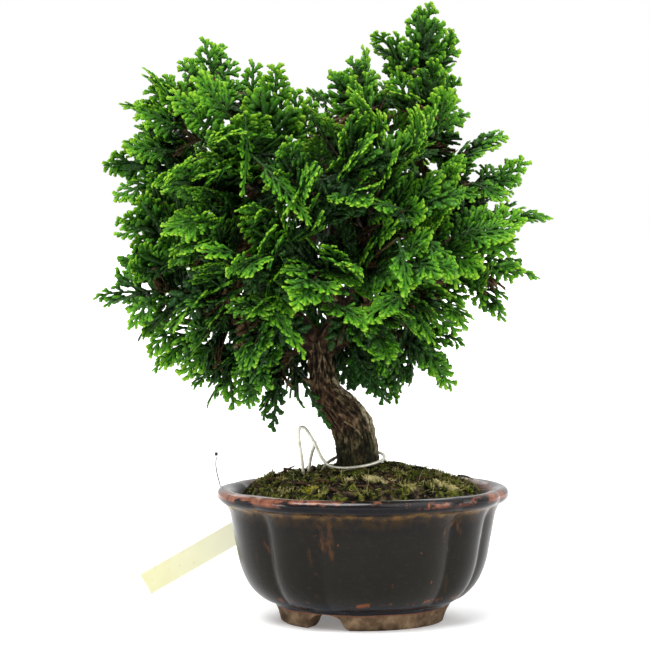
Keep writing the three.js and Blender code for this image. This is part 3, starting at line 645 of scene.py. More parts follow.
def costOf(perch, middle):   # how far round a twig would go from a perch to a pad
    way = middle - perch["at"]
    far = np.linalg.norm(way)
    if far < crown["shortestTwig"] + 12:
        return math.inf
    bent = 1.3 - 0.3 * np.dot(way / far, perch["heading"])
    return far * bent + 0.5 * max(0.0, perch["at"][2] - middle[2])


def hangPads():
    perches = makePerches()
    hung = []
    for number, (name, (x, y, z, reach)) in enumerate(pads.items()):
        middle = (np.array([x, y, z], float) - crown["middle"]) * crown["drawIn"] + crown["middle"]
        perch = perches.pop(np.argmin([costOf(p, middle) for p in perches]))
        way = middle - perch["at"]
        far = np.linalg.norm(way)
        grow = unit(way / far * 0.6 + unit(middle - crown["heart"]))
        depth = min(frond["setBack"] * reach, far - crown["shortestTwig"])
        hung.append({"name": name, "number": number, "middle": middle, "reach": reach, "perch": perch,
                     "grow": grow, "depth": depth, "root": middle - grow * depth})
    return hung


addBackPads()
hungPads = hangPads()
padMiddles = np.array([p["middle"] for p in hungPads])
print("pads hung:", len(hungPads))


def newSpray(seed, root, grow, face, long, droop, cup, broad=1.0):   # a flat spray; droop in degrees
    return {"seed": seed, "root": root, "grow": grow, "face": face, "side": np.cross(grow, face),
            "long": long, "droop": math.radians(droop), "cup": cup, "broad": broad}


def frondOn(pad, j):   # one of the three fronds of a pad
    number, seed = pad["number"], pad["number"] * 17 + j
    outward = unit(pad["grow"] * (1, 1, 0))
    face = square(np.array([0, 0, 0.8]) + 0.6 * outward, pad["grow"])
    roll = frond["roll"] * (draw(number, 163) - 0.5) + frond["climbingRoll"] * max(0.0, pad["grow"][2])
    face = turned(face, pad["grow"], math.radians(roll))
    across = np.cross(pad["grow"], face)
    rise = math.radians(frond["rise"][j] + 6 * (draw(seed, 2) - 0.5))
    fan = math.radians(frond["fan"][j] + 10 * (draw(seed, 1) - 0.5))
    face = turned(face, across, rise)
    grow = turned(turned(pad["grow"], across, rise), face, fan)
    root = pad["root"] + pad["grow"] * frond["springs"][j]
    long = (pad["depth"] + frond["ahead"] * pad["reach"] - frond["stalk"]) / frond["tip"]
    return newSpray(seed, root, grow, face, long * (0.9 + 0.2 * draw(seed, 4)),
                    -24 - 12 * draw(number, 5), -0.12 - 0.2 * draw(number, 6))


def sprayPoints(spray, u, v, w):   # u along and v across, as shares of the spray's length; w in millimetres
    u, v, w = (a[..., None] for a in np.broadcast_arrays(u, v, w))
    turn, long = spray["droop"] * u, spray["long"]
    along, rise = np.sin(turn) / spray["droop"] * long, (1 - np.cos(turn)) / spray["droop"] * long
    face = spray["face"] * np.cos(turn) - spray["grow"] * np.sin(turn)
    sheet = spray["root"] + spray["grow"] * along + spray["face"] * rise + spray["side"] * (v * long)
    return sheet + face * (spray["cup"] * v * v * long + w)


def keepInside(points, pad):   # draws the points in, smoothly, a little past halfway to each neighbour
    away = points - pad["middle"]
    distance = np.maximum(np.linalg.norm(away, axis=-1), 1e-6)
    direction = away / distance[..., None]
    others = np.delete(padMiddles, pad["number"], axis=0) - pad["middle"]
    far = np.linalg.norm(others, axis=1)
    facing = direction @ (others / far[:, None]).T
    room = np.where(facing > 0.05, (far / 2 + frond["loose"]) / np.maximum(facing, 0.05), 1e9).min(axis=-1)
    free, share = frond["free"], distance / room
    held = free + (1 - free) * (1 - np.exp(-np.maximum(share - free, 0) / (1 - free)))
    return np.where((share <= free)[..., None], points, pad["middle"] + direction * (held * room)[..., None])


def fanOn(spray, fan, k):   # a small fan that springs from a frond's rib, tilted off the frond's own sheet
    u, degrees, share, below, _ = fan
    seed = spray["seed"] * 13 + k
    u += 0.05 * (draw(seed, 31) - 0.5)
    theta = math.radians(degrees + 16 * (draw(seed, 32) - 0.5)) + np.array([0.0, 1.57])
    steps = np.append(0.0, 0.02 * np.cos(theta)), np.append(0.0, 0.02 * np.sin(theta))
    root, ahead, beside = sprayPoints(spray, u + steps[0], steps[1], -below)
    grow = unit(ahead - root)
    face = unit(np.cross(beside - root, grow))
    across = np.cross(grow, face)
    pitch = math.radians(26 * (draw(seed, 33) - 0.35) + (10 if degrees else 0))
    grow, face = turned(grow, across, pitch), turned(face, across, pitch)
    face = turned(face, grow, math.radians(56 * (draw(seed, 34) - 0.5)))
    return newSpray(seed, root, grow, face, spray["long"] * share * (0.88 + 0.24 * draw(seed, 35)),
                    -14 - 26 * draw(seed, 36), -0.1 - 0.25 * draw(seed, 37))


# ---- scale-leaf sprays

leaf = {
    "halfWidth": 1.0, "thickness": 0.48,
    # the side shoots of a spray: the first one, the gaps, their angle and how much of it is lost on the way
    # to the tip, the longest one as a share of the rib, and how many degrees they bend back
    "firstAt": 0.17, "spacing": 2.5, "sideAngle": 50.0, "angleLost": 14, "sideLong": 0.62,
    "bendBack": (16, 30),
    # the small shoots on those: the first one, the gaps, their length, and how many degrees they lean out
    "twigFirst": (2.0, 3.2), "twigSpacing": 2.15, "twigLong": 0.46, "twigLongest": 6.4, "twigLean": (36, 48),
    # what is wider in the coarse sprays: the scales, and the gaps between shoots
    "coarseWidth": 2.0, "coarseGap": 1.5, "coarseTwigGap": 1.7,
    # the inner sprays: how many, how far round each turns from the last, and their youth, kept low so that
    # they are dark as painted shade; then the share and brownness of the brown ones
    "innerSprays": 8, "innerTurn": 2.399963, "innerYouthAndShade": 0.25, "deadShare": 0.4, "deadBrown": 0.9,
    # the fork and the bare trunk below it are left in view: from x to x, from z to z, in front of y
    "trunkView": ((-33, -6), (97, 134), -7),
    "standingSeed": 5000, "longestStem": 60.0, "stemRadii": (0.9, 0.5),
    # painted light and shade: the tone and the youth of a standing spray where light reaches it, and lower
    # ones, coloured darker, where it doesn't
    "lit": (0.85, 1.05), "shaded": (0.3, 0.5),
    # sprays that stand out in front: where each springs from and where its tip is, its own width, and which
    # way its upper face looks
    "standing": (
        ((-49, -60, 210), (-22, -72, 178), 0.45, (0.5, -0.6, 0.6)),
        ((-52, -50, 229), (-53, -66, 190), 0.35, (0.9, -0.4, 0.1)),
        ((-62, -52, 182), (-87, -66, 177), 0.9, (0.0, -0.7, 0.7)),
        ((-53, -62, 167), (-70, -76, 168), 0.9, (0.0, -0.6, 0.8)),
        ((-47, -58, 150), (-25, -68, 123), 0.5, (0.6, -0.6, 0.5)),
        ((-15, -64, 147), (1, -74, 137), 0.9, (0.2, -0.7, 0.7)),
        ((21, -58, 151), (-2, -72, 139), 0.8, (-0.2, -0.7, 0.7)),
        ((14, -66, 174), (17, -74, 148), 0.6, (0.5, -0.8, 0.3)),
        ((17, -60, 186), (-5, -72, 189), 0.6, (0.0, -0.6, 0.8)),
        ((22, -52, 179), (40, -62, 153), 0.6, (0.5, -0.7, 0.5)),
        ((32, -24, 218), (35, -38, 239), 1.0, (0.0, -1.0, 0.2)),
        ((38, -38, 174), (66, -46, 177), 0.9, (0.0, -0.7, 0.7)),
        ((-6, -6, 124), (11, -12, 99), 0.7, (0.4, -0.8, 0.4)),
        ((24, -8, 127), (40, -14, 106), 0.8, (0.4, -0.8, 0.4)),
        ((-38, -6, 112), (-41, -8, 86), 0.5, (0.2, -1.0, 0.2)),
        ((-27, -7, 109), (-14, -12, 87), 0.3, (-0.5, -0.8, 0.3)),
        ((-92, -14, 150), (-104, -18, 133), 0.9, (-0.3, -0.8, 0.4)),
        ((-60, -10, 112), (-58, -14, 96), 0.9, (0.0, -1.0, 0.3)),
        ((-38, 0, 227), (-36, -6, 240), 0.9, (0.0, -1.0, 0.3)),
        ((-80, -14, 222), (-102, -18, 231), 0.9, (-0.1, -1.0, 0.3)),
        ((-76, -14, 228), (-91, -18, 245), 0.9, (0.0, -1.0, 0.3)),
        ((-84, -12, 212), (-106, -16, 214), 0.9, (-0.1, -1.0, 0.4)),
        ((-50, -4, 234), (-49, -8, 253), 0.9, (0.0, -1.0, 0.3)),
        ((-28, -6, 218), (-23, -10, 236), 0.9, (0.1, -1.0, 0.3)),
        ((10, -8, 214), (18, -12, 233), 0.9, (0.0, -1.0, 0.3)),
        ((22, -6, 230), (13, -10, 249), 0.9, (0.1, -1.0, 0.3)),
        ((-22, 16, 152), (-17, 10, 128), 0.9, (0.0, -1.0, 0.1)),
        ((-44, 10, 126), (-52, 8, 106), 0.9, (0.0, -1.0, 0.2)),
        ((-30, 8, 136), (-44, 8, 120), 0.9, (0.1, -1.0, 0.2)),
        ((-22, 0, 206), (-30, 8, 228), 0.9, (0.3, 0.3, 1.0)),
        ((-18, 2, 204), (-4, 12, 224), 0.9, (-0.3, 0.3, 1.0)),
        ((-20, -4, 200), (-20, -24, 218), 0.9, (0.0, 0.3, 1.0)),
        ((-24, 6, 200), (-24, 30, 216), 0.9, (0.0, -0.3, 1.0)),
        ((-62, -30, 222), (-84, -34, 236), 0.9, (0.0, -1.0, 0.3)),
        ((-56, -38, 222), (-73, -44, 245), 0.9, (0.2, -1.0, 0.3)),
        ((-72, -26, 214), (-66, -36, 236), 0.9, (0.3, -1.0, 0.2)),
        ((-96, -8, 198), (-112, -12, 191), 0.9, (-0.2, -0.8, 0.5)),
        ((-96, -8, 178), (-111, -12, 174), 0.9, (-0.2, -0.8, 0.5)),
        ((-76, -8, 132), (-90, -12, 116), 0.9, (-0.3, -0.8, 0.4)),
        ((48, -12, 198), (65, -14, 191), 0.9, (0.2, -0.8, 0.5)),
        ((54, -10, 162), (72, -12, 157), 0.9, (0.2, -0.8, 0.5)),
        ((26, -10, 142), (43, -12, 131), 0.9, (0.2, -0.8, 0.5)),
        ((-22, 7, 127), (-31, 10, 107), 0.9, (0.3, -1.0, 0.2)),
        ((-22, 9, 125), (-40, 12, 117), 0.9, (0.2, -1.0, 0.3)),
        ((-14, 9, 127), (0, 14, 106), 0.9, (-0.2, -1.0, 0.3)),
        ((-12, 12, 128), (12, 16, 116), 0.9, (0.0, -1.0, 0.3)),
        ((12, 0, 240), (15, -6, 256), 0.9, (0.0, -1.0, 0.3)),
        ((58, -8, 196), (73, -14, 208), 0.9, (0.1, -1.0, 0.4)),
        ((-64, -8, 129), (-81, -12, 112), 0.9, (-0.1, -1.0, 0.3)),
        ((-82, -8, 137), (-96, -12, 121), 0.9, (-0.2, -0.9, 0.4)),
        ((-50, -8, 122), (-57, -12, 104), 0.9, (0.0, -1.0, 0.3)),
        ((-67, -14, 246), (-71, -18, 262), 0.9, (0.0, -1.0, 0.3)),
        ((-84, -14, 236), (-98, -18, 239), 0.9, (-0.1, -1.0, 0.3)),
        ((30, -10, 152), (47, -14, 146), 0.9, (0.1, -0.9, 0.4)),
        ((-30, -4, 224), (-31, -10, 240), 0.9, (0.1, -1.0, 0.2)),
        ((-12, 10, 122), (-5, 13, 104), 0.9, (0.0, -1.0, 0.2)),
    ),
}


def sideShoots(rng, at, side, angle, bend, size, tilt, coarse):   # the small ones along a shoot
    shoots = []
    along = rng.uniform(*leaf["twigFirst"])
    while along < size - 1.4:
        heading = angle + bend * (along / size)
        u = at + size * (math.sin(heading) - math.sin(angle)) / bend
        v = size * (math.cos(angle) - math.cos(heading)) / bend
        small = min(leaf["twigLongest"], leaf["twigLong"] * (size - along) + 1.9) * rng.uniform(0.75, 1.15)
        lean = side * math.radians(rng.uniform(*leaf["twigLean"]))
        shoots.append((u, v, tilt * along, heading + lean, -side * 0.35, small, 1.0,
                       3 if small > 3.4 else 2, 2, tilt + rng.uniform(-0.15, 0.15)))
        along += leaf["twigSpacing"] * (leaf["coarseTwigGap"] if coarse else 1.0) * rng.uniform(0.85, 1.15)
        side = -side
    return shoots


def shootsOf(spray, coarse):   # rows of: u, v, w, heading, bend, length, width, scale pairs, order, tilt
    rng = np.random.default_rng(spray["seed"] * 7 + 3)
    long = spray["long"]
    shoots = [(0, 0, 0, 0, rng.uniform(-0.03, 0.03), long * 0.97, 0.95, 7, 0, 0)]
    at, side = (0.1 if coarse else leaf["firstAt"]) * long, 1 if rng.random() < 0.5 else -1
    while at < long * 0.93:
        share = at / long
        angle = side * math.radians(leaf["sideAngle"] - leaf["angleLost"] * share + rng.uniform(-6, 6))
        size = long * leaf["sideLong"] * (1.0 - 0.78 * share ** 1.3) * rng.uniform(0.82, 1.12)
        size *= spray["broad"] * float(smoothRamp(share, 0.02, 0.3) * 0.45 + 0.55)
        tilt = rng.uniform(-0.11, 0.11)
        bend = -side * math.radians(rng.uniform(*leaf["bendBack"]))
        shoots.append((at, 0, 0, angle, bend, size, 0.97, 4 if size > 8 else 3, 1, tilt))
        if size > (8 if coarse else 4.5):
            shoots += sideShoots(rng, at, side, angle, bend, size, tilt, coarse)
        at += leaf["spacing"] * (leaf["coarseGap"] if coarse else 1.0) * rng.uniform(0.85, 1.15)
        side = -side
    return np.array(shoots, float)


def scaleRings(scales, coarse):   # places along a shoot and its width there; each pair of scales swells
    swells = [(k + 0.7) / scales for k in range(scales)]
    waists = [(k + 0.97) / scales for k in range(scales - 1)] + [1.0]
    places = np.append(0.0, np.stack([swells, waists], axis=1))
    widths = np.array([0.72] + [1.1, 0.8] * (scales - 1) + [1.1, 0.5])
    if coarse:
        return places[[0, 1, -1]], widths[[0, 1, -1]] * leaf["coarseWidth"]
    return places, widths


def addShoots(skin, rng, spray, pad, group, scales, sides, coarse, tone, youthAndShade, dead):   # of one build
    u0, v0, w0, a0, bend, size, width, _, order, tilt = group.T[:, :, None]
    long, count = spray["long"], (len(group), 1)
    t, swell = scaleRings(scales, coarse)
    bend = np.where(np.abs(bend) < 1e-3, 1e-3, bend)
    a = a0 + bend * t
    u = u0 + size * (np.sin(a) - np.sin(a0)) / bend
    v = v0 + size * (np.cos(a0) - np.cos(a)) / bend
    w = w0 + tilt * size * t
    isRib = order == 0
    taper = np.where(isRib, 1 - 0.25 * t, 1.0)
    half = leaf["halfWidth"] * width * swell * taper * rng.uniform(0.85, 1.15, count)
    thick = leaf["thickness"] * width * np.minimum(swell, 1.0) * np.where(isRib, 1.25, 1)
    corner = around(sides) + (tau / 4 if sides == 3 else 0)
    aside = half[..., None] * np.cos(corner) * (1.12 if sides == 3 else 1.0)
    cornerU = u[..., None] - np.sin(a)[..., None] * aside
    cornerV = v[..., None] + np.cos(a)[..., None] * aside
    cornerW = w[..., None] + thick[..., None] * np.sin(corner)
    points = sprayPoints(spray, cornerU / long, cornerV / long, cornerW)
    if pad:
        points = keepInside(points, pad)
    growth = 0.14 + 0.44 * (np.hypot(u, v) / long) ** 1.4 + 0.42 * t ** 1.5 * (order > 0)
    # the youth scale is partly real youth and partly painted shade, for sprays coloured darker where light
    # doesn't reach
    growth = np.clip(growth, 0, 1) * youthAndShade + rng.uniform(-0.08, 0.08, count)
    tone = tone + rng.uniform(-0.15, 0.15, count)
    quads, lids = ringFaces(len(t), sides)
    skin.addMany(points, quads[:, ::-1], lids[:, ::-1], growth=growth[..., None], tone=tone[..., None],
                 dead=dead, along=(t * scales)[:, None], across=np.cos(corner))


def addSpray(skin, spray, pad, coarse, tone, youthAndShade, dead=0.0):   # kept inside its pad, if it is given one
    rng = np.random.default_rng(spray["seed"] * 5 + 1)
    shoots = shootsOf(spray, coarse)
    sides = np.where((shoots[:, 8] < 2) & (not coarse), 4, 3)
    builds = np.stack([shoots[:, 7], sides], axis=1).astype(int).tolist()
    for scales, corners in sorted(set(map(tuple, builds))):
        group = shoots[(shoots[:, 7] == scales) & (sides == corners)]
        addShoots(skin, rng, spray, pad, group, scales, corners, coarse, tone, youthAndShade, dead)


def makeFoliageMaterial():
    material, n = newMaterial("hinokiFoliage")
    mottle = n.noise(320)
    # dark to yellow-green by growth, which is partly real youth and partly painted shade
    green = n.ramp(n.plus(n.value("growth"), n.swing(mottle, 0.35)), [
        (0.0, (0.003, 0.010, 0.002)), (0.28, (0.011, 0.053, 0.003)), (0.52, (0.038, 0.158, 0.004)),
        (0.76, (0.100, 0.300, 0.007)), (1.0, (0.225, 0.425, 0.020))])
    # low tone mixes in a dark cool green: partly the sprays' own differing tone, partly painted shade, as
    # shaded, inner and low sprays get a low tone
    colour = n.mix(n.ramp(n.value("tone"), [(0.1, 0.5), (0.6, 0.0)]), green, (0.008, 0.048, 0.010))
    brown = n.tones(mottle, (0.022, 0.009, 0.004), (0.115, 0.050, 0.022))
    colour = n.mix(n.value("dead"), colour, brown)
    scales = n.grouped(scaleLeaves, {"Along": n.value("along"), "Across": n.value("across")})
    colour = n.mix(n.times(scales["Joint"], 0.5), colour, n.mix(0.75, colour, (0.003, 0.010, 0.002)))
    # pale specks: partly the waxy bloom of the scales, partly painted highlights
    waxAndGlints = n.times(n.ramp(n.noise(1000, detail=2.0), [(0.55, 0.0), (0.66, 1.0)]), 0.26)
    n.shade({
        "Base Color": n.mix(waxAndGlints, colour, (0.22, 0.38, 0.15)), "Roughness": n.tones(mottle, 0.48, 0.62),
        "Specular IOR Level": 0.14, "Subsurface Weight": 0.1, "Subsurface Radius": (0.4, 0.9, 0.1),
        "Subsurface Scale": 0.0012, "Normal": n.bump(scales["Height"], 0.55, 0.0004)})
    return material


def isDead(pad, k):   # whether an inner spray is a shorter, brown one
    return draw(pad["number"] * 7 + k, 19) < leaf["deadShare"]


def innerSpray(pad, k):   # older foliage nearer the wood, in every direction but inwards; its darker colour is painted shade
    seed = pad["number"] * 31 + k + 700
    spin = k * leaf["innerTurn"] + 6.28 * draw(seed, 1)
    aside = turned(frondOn(pad, k % 3)["side"], pad["grow"], spin)
    grow = unit(pad["grow"] * (0.25 + 0.6 * draw(seed, 2)) + aside * 0.9 - np.array([0, 0, 0.15]))
    face = unit(np.cross(grow, np.cross(pad["grow"], grow)) + 0.6 * np.array([0, 0, draw(seed, 3)]))
    root = pad["root"] + pad["grow"] * (pad["depth"] * 0.7 * draw(seed, 5))
    long = pad["reach"] * (1.0 + 0.4 * draw(seed, 6)) * (0.75 if isDead(pad, k) else 1.0)
    return newSpray(seed, root, grow, square(face, grow), long, -20 - 25 * draw(seed, 7), -0.2)


def standingSpray(number):   # a spray with its own place, and the number of the pad that it belongs to
    start, tip, broad, facing = leaf["standing"][number]
    start, tip, droop = np.array(start, float), np.array(tip, float), -20
    grow = unit(tip - start)
    face = square(np.array(facing, float), grow)
    grow = turned(grow, np.cross(grow, face), -math.radians(droop) / 2)
    nearest = np.linalg.norm(padMiddles - (0.7 * start + 0.3 * tip), axis=1).argmin()
    return nearest, newSpray(leaf["standingSeed"] + number, start, grow, square(face, grow),
                             np.linalg.norm(tip - start), droop, -0.15, broad)


def addStanding(skin, spray, pad):   # and the stem that it hangs on, if it isn't far from the pad's own
    x, y, z = spray["root"]
    # painted shade: sprays behind or low in the crown take the darker colours
    light = "shaded" if y > 5 or (z < 130 and y > -8) else "lit"
    addSpray(skin, spray, None, False, *leaf[light])
    way = spray["root"] - pad["root"]
    if np.linalg.norm(way) < leaf["longestStem"] and spray["broad"] > 0.3:
        stem = np.linspace(0, 1, 7)[:, None] * way + pad["root"]
        tube(skin, stem, np.linspace(*leaf["stemRadii"], 7), 5, dead=0.9)


def hidesTrunk(spray):   # whether it hangs in front of what is left in view
    (left, right), (low, high), front = leaf["trunkView"]
    x, y, z = sprayPoints(spray, np.array([0.4, 0.7, 1.0]), 0.0, 0.0).T
    return ((x > left) & (x < right) & (z > low) & (z < high) & (y < front)).any()


def fansOf(pad):   # each small fan of its three fronds, whether it is a coarse one, and how young
    for j in range(3):
        spray = frondOn(pad, j)
        for k, fan in enumerate(frond["fans"]):
            yield fanOn(spray, fan, k), False, fan[4]
        for k, fan in enumerate(frond["underFans"]):
            yield fanOn(spray, fan, k + 7), True, fan[4]


def makeFoliage(pad, material):
    skin = Skin()
    # painted light and shade: pads high in the crown get a brighter tone and youth, low ones a darker
    high = float(smoothRamp(pad["middle"][2], 180, 235))
    low = 1 - float(smoothRamp(pad["middle"][2], 115, 150))
    tone, paintedHeightLight = 0.4 + 0.45 * draw(pad["number"], 11) + 0.15 * high, 1 + 0.14 * high - 0.16 * low
    for spray, coarse, youthAndShade in fansOf(pad):
        if not hidesTrunk(spray):
            addSpray(skin, spray, pad, coarse, tone, paintedHeightLight * youthAndShade)
    for k in range(leaf["innerSprays"]):
        brown = leaf["deadBrown"] if isDead(pad, k) else 0.0
        # painted shade: the inner sprays take a lower tone and a low youth, so that they are dark
        addSpray(skin, innerSpray(pad, k), pad, True, tone - 0.2, leaf["innerYouthAndShade"], brown)
    for number, spray in standing:
        if number == pad["number"]:
            addStanding(skin, spray, pad)
    return skin.build("spray_" + pad["name"], material, "foliage", "foliage_" + pad["name"])


standing = [standingSpray(i) for i in range(len(leaf["standing"]))]
foliageMaterial = makeFoliageMaterial()
foliageTriangles = sum(makeFoliage(pad, foliageMaterial) for pad in hungPads)
print("foliage made:", foliageTriangles)

# ---- trunk, branches and twigs

bark = {
    "ridge": 0.85, "stepHeight": 1.3, "stepAt": 96.5, "stepWide": 2.6,
    # a root line that crosses the foot, and a broken peg; then how thick the tubes are at each end
    "root": ((-8.8, -9.7, 91), (-6.4, -10.2, 89.9), (-2.5, -10.3, 86.9), (-0.2, -9.7, 83.4)),
    "peg": ((-21, -3, 107), (-24, -4, 108.6), (-27.2, -5, 109.6)),
    "rootRadius": 0.36, "pegRadii": (1.5, 0.7), "twigRadii": (1.7, 0.8), "ribRadii": (1.1, 0.45),
}


def barkHeight(x, y, far, number, isTrunk):   # strands with fine cracks, and on the trunk flakes as well
    height = 0.5 - abs(noise.noise(Vector((x * 0.75, y * 0.75, far * 0.15 + number * 9)))) * 2.2
    height += 0.35 * noise.noise(Vector((x * 1.9, y * 1.9, far * 0.28 + 40)))
    if isTrunk:
        flake = noise.voronoi(Vector((x * 0.55, y * 0.55, far * 0.22)))[0]
        height += 0.9 * min(flake[1] - flake[0], 0.5) + 0.4 * noise.noise(Vector((x * 3, y * 3, far)))
    return height


def trunkLooks(right, up):   # where the trunk is crusted, reddish or slimy
    return {
        "lichen": smoothRamp(right, 0.3, 0.85) * smoothRamp(up, 70, 78) * (1 - smoothRamp(up, 106, 120)),
        "red": (smoothRamp(up, 84, 92) * (1 - 0.7 * smoothRamp(up, 104, 112))
                * (1 - 0.8 * smoothRamp(right, 0.0, 0.5))),
        "algae": (1 - smoothRamp(up, 77, 92)) * (1 - 0.5 * smoothRamp(right, 0.5, 0.9)),
    }


def addLimb(skin, number, spec, isTrunk):
    steps = int(lengthOf(spline(spec["line"], limbSteps)) / spec["step"])
    line = spline(spec["line"], steps)
    t = np.linspace(0, 1, len(line))[:, None]
    radius = np.interp(t, np.linspace(0, 1, len(spec["radii"])), spec["radii"])
    angle, ways = around(spec["sides"]), waysOut(line, spec["sides"])
    right, up = ways[..., 0], line[:, None, 2]
    x, y, far = np.broadcast_arrays(np.cos(angle) * radius, np.sin(angle) * radius, t * lengthOf(line))
    places = zip(x.ravel(), y.ravel(), far.ravel())
    height = np.array([barkHeight(*place, number, isTrunk) for place in places]).reshape(x.shape)
    strong, fluting = (1.0, 1.0) if isTrunk else (0.35, 0.3)
    flute = fluting * (0.07 * np.sin(3 * angle + 2 + 3 * t) + 0.035 * np.sin(5 * angle + 6 * t))
    reach = radius * (1 + flute) + bark["ridge"] * strong * height * np.minimum(1, radius / 5)
    looks = {"red": smoothRamp(up, 84, 92)}
    if isTrunk:   # which has a worn step on its right, over the bend
        band = np.exp(-((up - bark["stepAt"]) / bark["stepWide"]) ** 2)
        reach = reach + bark["stepHeight"] * smoothRamp(right, 0.5, 0.95) * band
        looks = trunkLooks(right, up)
    skin.add(line[:, None] + ways * reach[..., None], *ringFaces(len(line), spec["sides"]),
             crack=np.clip(height, -1, 1), **looks)


def addTwigs(skin, pad):   # one from its perch to the pad, and three thin ones along the fronds' ribs
    start, end = pad["perch"]["at"], pad["root"] + pad["grow"] * 3
    span = np.linalg.norm(end - start)
    first = start + pad["perch"]["heading"] * span * 0.12
    second = pad["root"] - pad["grow"] * span * 0.35
    t = np.linspace(0, 1, 13)[:, None]
    line = (1 - t) ** 3 * start + 3 * (1 - t) ** 2 * t * first + 3 * (1 - t) * t * t * second + t ** 3 * end
    tube(skin, line, np.linspace(*bark["twigRadii"], 13), 8, crack=0.2)
    for j in range(3):
        rib = keepInside(sprayPoints(frondOn(pad, j), np.linspace(-0.02, 0.56, 7), 0.0, -0.2), pad)
        tube(skin, np.vstack([pad["root"], rib]), np.linspace(*bark["ribRadii"], 8), 6, crack=0.3)


def makeWood(material):
    skin = Skin()
    for number, (name, spec) in enumerate(limbs.items()):
        addLimb(skin, number, spec, name == "trunk")
    thick = np.array([0.15] + [bark["rootRadius"]] * 13 + [0.3, 0.25, 0.12])
    tube(skin, spline(bark["root"], 16), thick, 8, crack=0.8, lichen=0.6)
    tube(skin, spline(bark["peg"], 8), np.linspace(*bark["pegRadii"], 9), 8, crack=0.6, red=0.8)
    for pad in hungPads:
        addTwigs(skin, pad)
    return skin.build("trunkAndBranches", material, "bark", "trunk_and_branches")


def makeBark():
    material, n = newMaterial("hinokiBark")
    place = n.place()
    strands = n.noise(560, place, detail=6.0, rough=0.78, stretch=(1, 1, 0.5))
    # darker down in the cracks: partly the bark's own colour, partly painted shade
    mixed = n.plus(n.times(n.value("crack"), 0.30), strands)
    brown = n.ramp(mixed, [
        (0.40, (0.003, 0.002, 0.001)), (0.52, (0.020, 0.013, 0.005)), (0.64, (0.082, 0.056, 0.025)),
        (0.80, (0.300, 0.225, 0.120))])
    reddish = n.ramp(mixed, [
        (0.38, (0.010, 0.004, 0.002)), (0.58, (0.068, 0.032, 0.014)), (0.84, (0.220, 0.130, 0.070))])
    colour = n.mix(n.times(n.value("red"), 0.6), brown, reddish)
    crust = n.math("SUBTRACT", n.noise(230, place, detail=6.0, rough=0.75), 0.90)
    pale = n.math("MULTIPLY", n.plus(n.times(n.value("lichen"), 0.5), crust), 9.0, clamp=True)
    lichen = n.ramp(strands, [(0.40, (0.070, 0.055, 0.026)), (0.54, (0.66, 0.57, 0.37))])
    colour = n.mix(n.times(pale, 0.8), colour, lichen)
    slime = n.ramp(n.noise(110, place, detail=5.0), [(0.34, 0.4), (0.50, 1.0)])
    algae = n.ramp(strands, [(0.44, (0.003, 0.004, 0.001)), (0.68, (0.042, 0.045, 0.009))])
    n.shade({
        "Base Color": n.mix(n.times(n.value("algae"), slime), colour, algae),
        "Roughness": n.ramp(strands, [(0.3, 0.95), (0.8, 0.78)]), "Specular IOR Level": 0.25,
        "Normal": n.bump(mixed, 0.9, 0.0016)})
    return material


woodTriangles = makeWood(makeBark())
print("wood made:", woodTriangles)

# ---- soil and moss

ground = {
    "edge": 55.5, "crown": 67.2, "crownAt": (0.0, 2.0), "spread": 58.0, "fall": 1.8, "relief": 0.9,
    "mossThickness": 3.0, "reach": 55.2, "rings": 104, "columns": 250,
    "innerHalf": (55.0, 49.6), "edgeDrop": 3.2,
    "underside": ((0.985, 52.6), (0.9, 50.0)),   # share of the way to the edge, height
    "tufts": 430, "bladesEach": 8, "bladeSpread": 0.75, "bladeThick": (0.3, 0.55),
    "stems": 60, "stemHigh": (2.5, 7), "stemThick": 0.15,
    "deadBladesDensity": 7, "deadBladeThick": (0.2, 0.45), "twigRadii": (0.62, 0.3),
    # what lies about: between which shares of the way to the edge; the least and most that a piece is
    # lifted, thick and pale; how far it reaches aside; how much it rises, and how unevenly
    "straws": {"count": 320, "between": (0.1, 0.97), "lift": (1.0, 1.8), "thick": (0.13, 0.23),
               "pale": (0.85, 1.0), "aside": 1.8, "rise": (0.3, 0.6)},
    "crumbs": {"count": 300, "between": (0.15, 0.96), "lift": (0.0, 0.5), "thick": (0.35, 0.8),
               "pale": (0.0, 1.0), "aside": 1.4, "rise": (0.5, 0.4)},
    # cushions that stand up from it, and one hollow behind the trunk: middle, height, width
    "clumps": ((13, 8, 2.0, 4), (26, 2, 1.2, 5), (24, -10, 1.4, 4), (-42, 10, 1.3, 4), (-30, -4, 1.2, 3.5),
               (-44, -8, 1.2, 4), (3, -34, 1.2, 5), (-24, 14, -1.5, 8), (-10, -26, 1.4, 3),
               (18, -24, 1.5, 4), (36, -14, 1.2, 4), (-22, -20, 1.3, 4), (44, 2, 1.0, 3)),
    # where moss has died back: middle, half length, half depth, yellowness
    "deadPatches": ((6.0, -29, 6.4, 3.6, 0.15), (-6.5, -29, 2.0, 1.6, 0.1), (-24, -35, 2.4, 1.8, 1.0),
                    (20, -34, 3, 2, 0.5), (37, -22, 6, 2.4, 0.3)),
    # bare twigs that lie about: two ends, on the plan, and how high each end is held
    "twigs": ((-39, 4, -31, 8, 1.0, 3.4), (-36, 12, -29, 2, 3.2, 0.8), (-44, -8, -38, -14, 0.6, 0.8),
              (-15, -30, -21, -27, 0.7, 1.2), (-3, -36, 4, -39, 0.4, 0.6), (10, -24, 18, -27, 1.6, 0.6),
              (24, -20, 33, -17, 0.7, 1.0), (-30, -24, -24, -31, 0.5, 0.9), (-12, -40, -19, -38, 0.5, 0.5),
              (38, -6, 44, 0, 0.8, 1.6), (12, 20, 20, 26, 0.9, 1.3), (-10, 30, -2, 36, 0.8, 1.0),
              (-50, 6, -54, -4, 1.2, 2.0), (44, 12, 50, 4, 1.0, 2.2), (14, -36, 9, -30, 0.8, 1.8)),
}


def reliefAt(x, y, height):   # low waves, a few millimetres to some centimetres long
    return height * (0.5 * np.sin(x * 0.23 + 1.1) * np.cos(y * 0.27) + 0.3 * np.sin(x * 0.51 + y * 0.43)
                     + 0.2 * np.cos(x * 0.71 - y * 0.83))


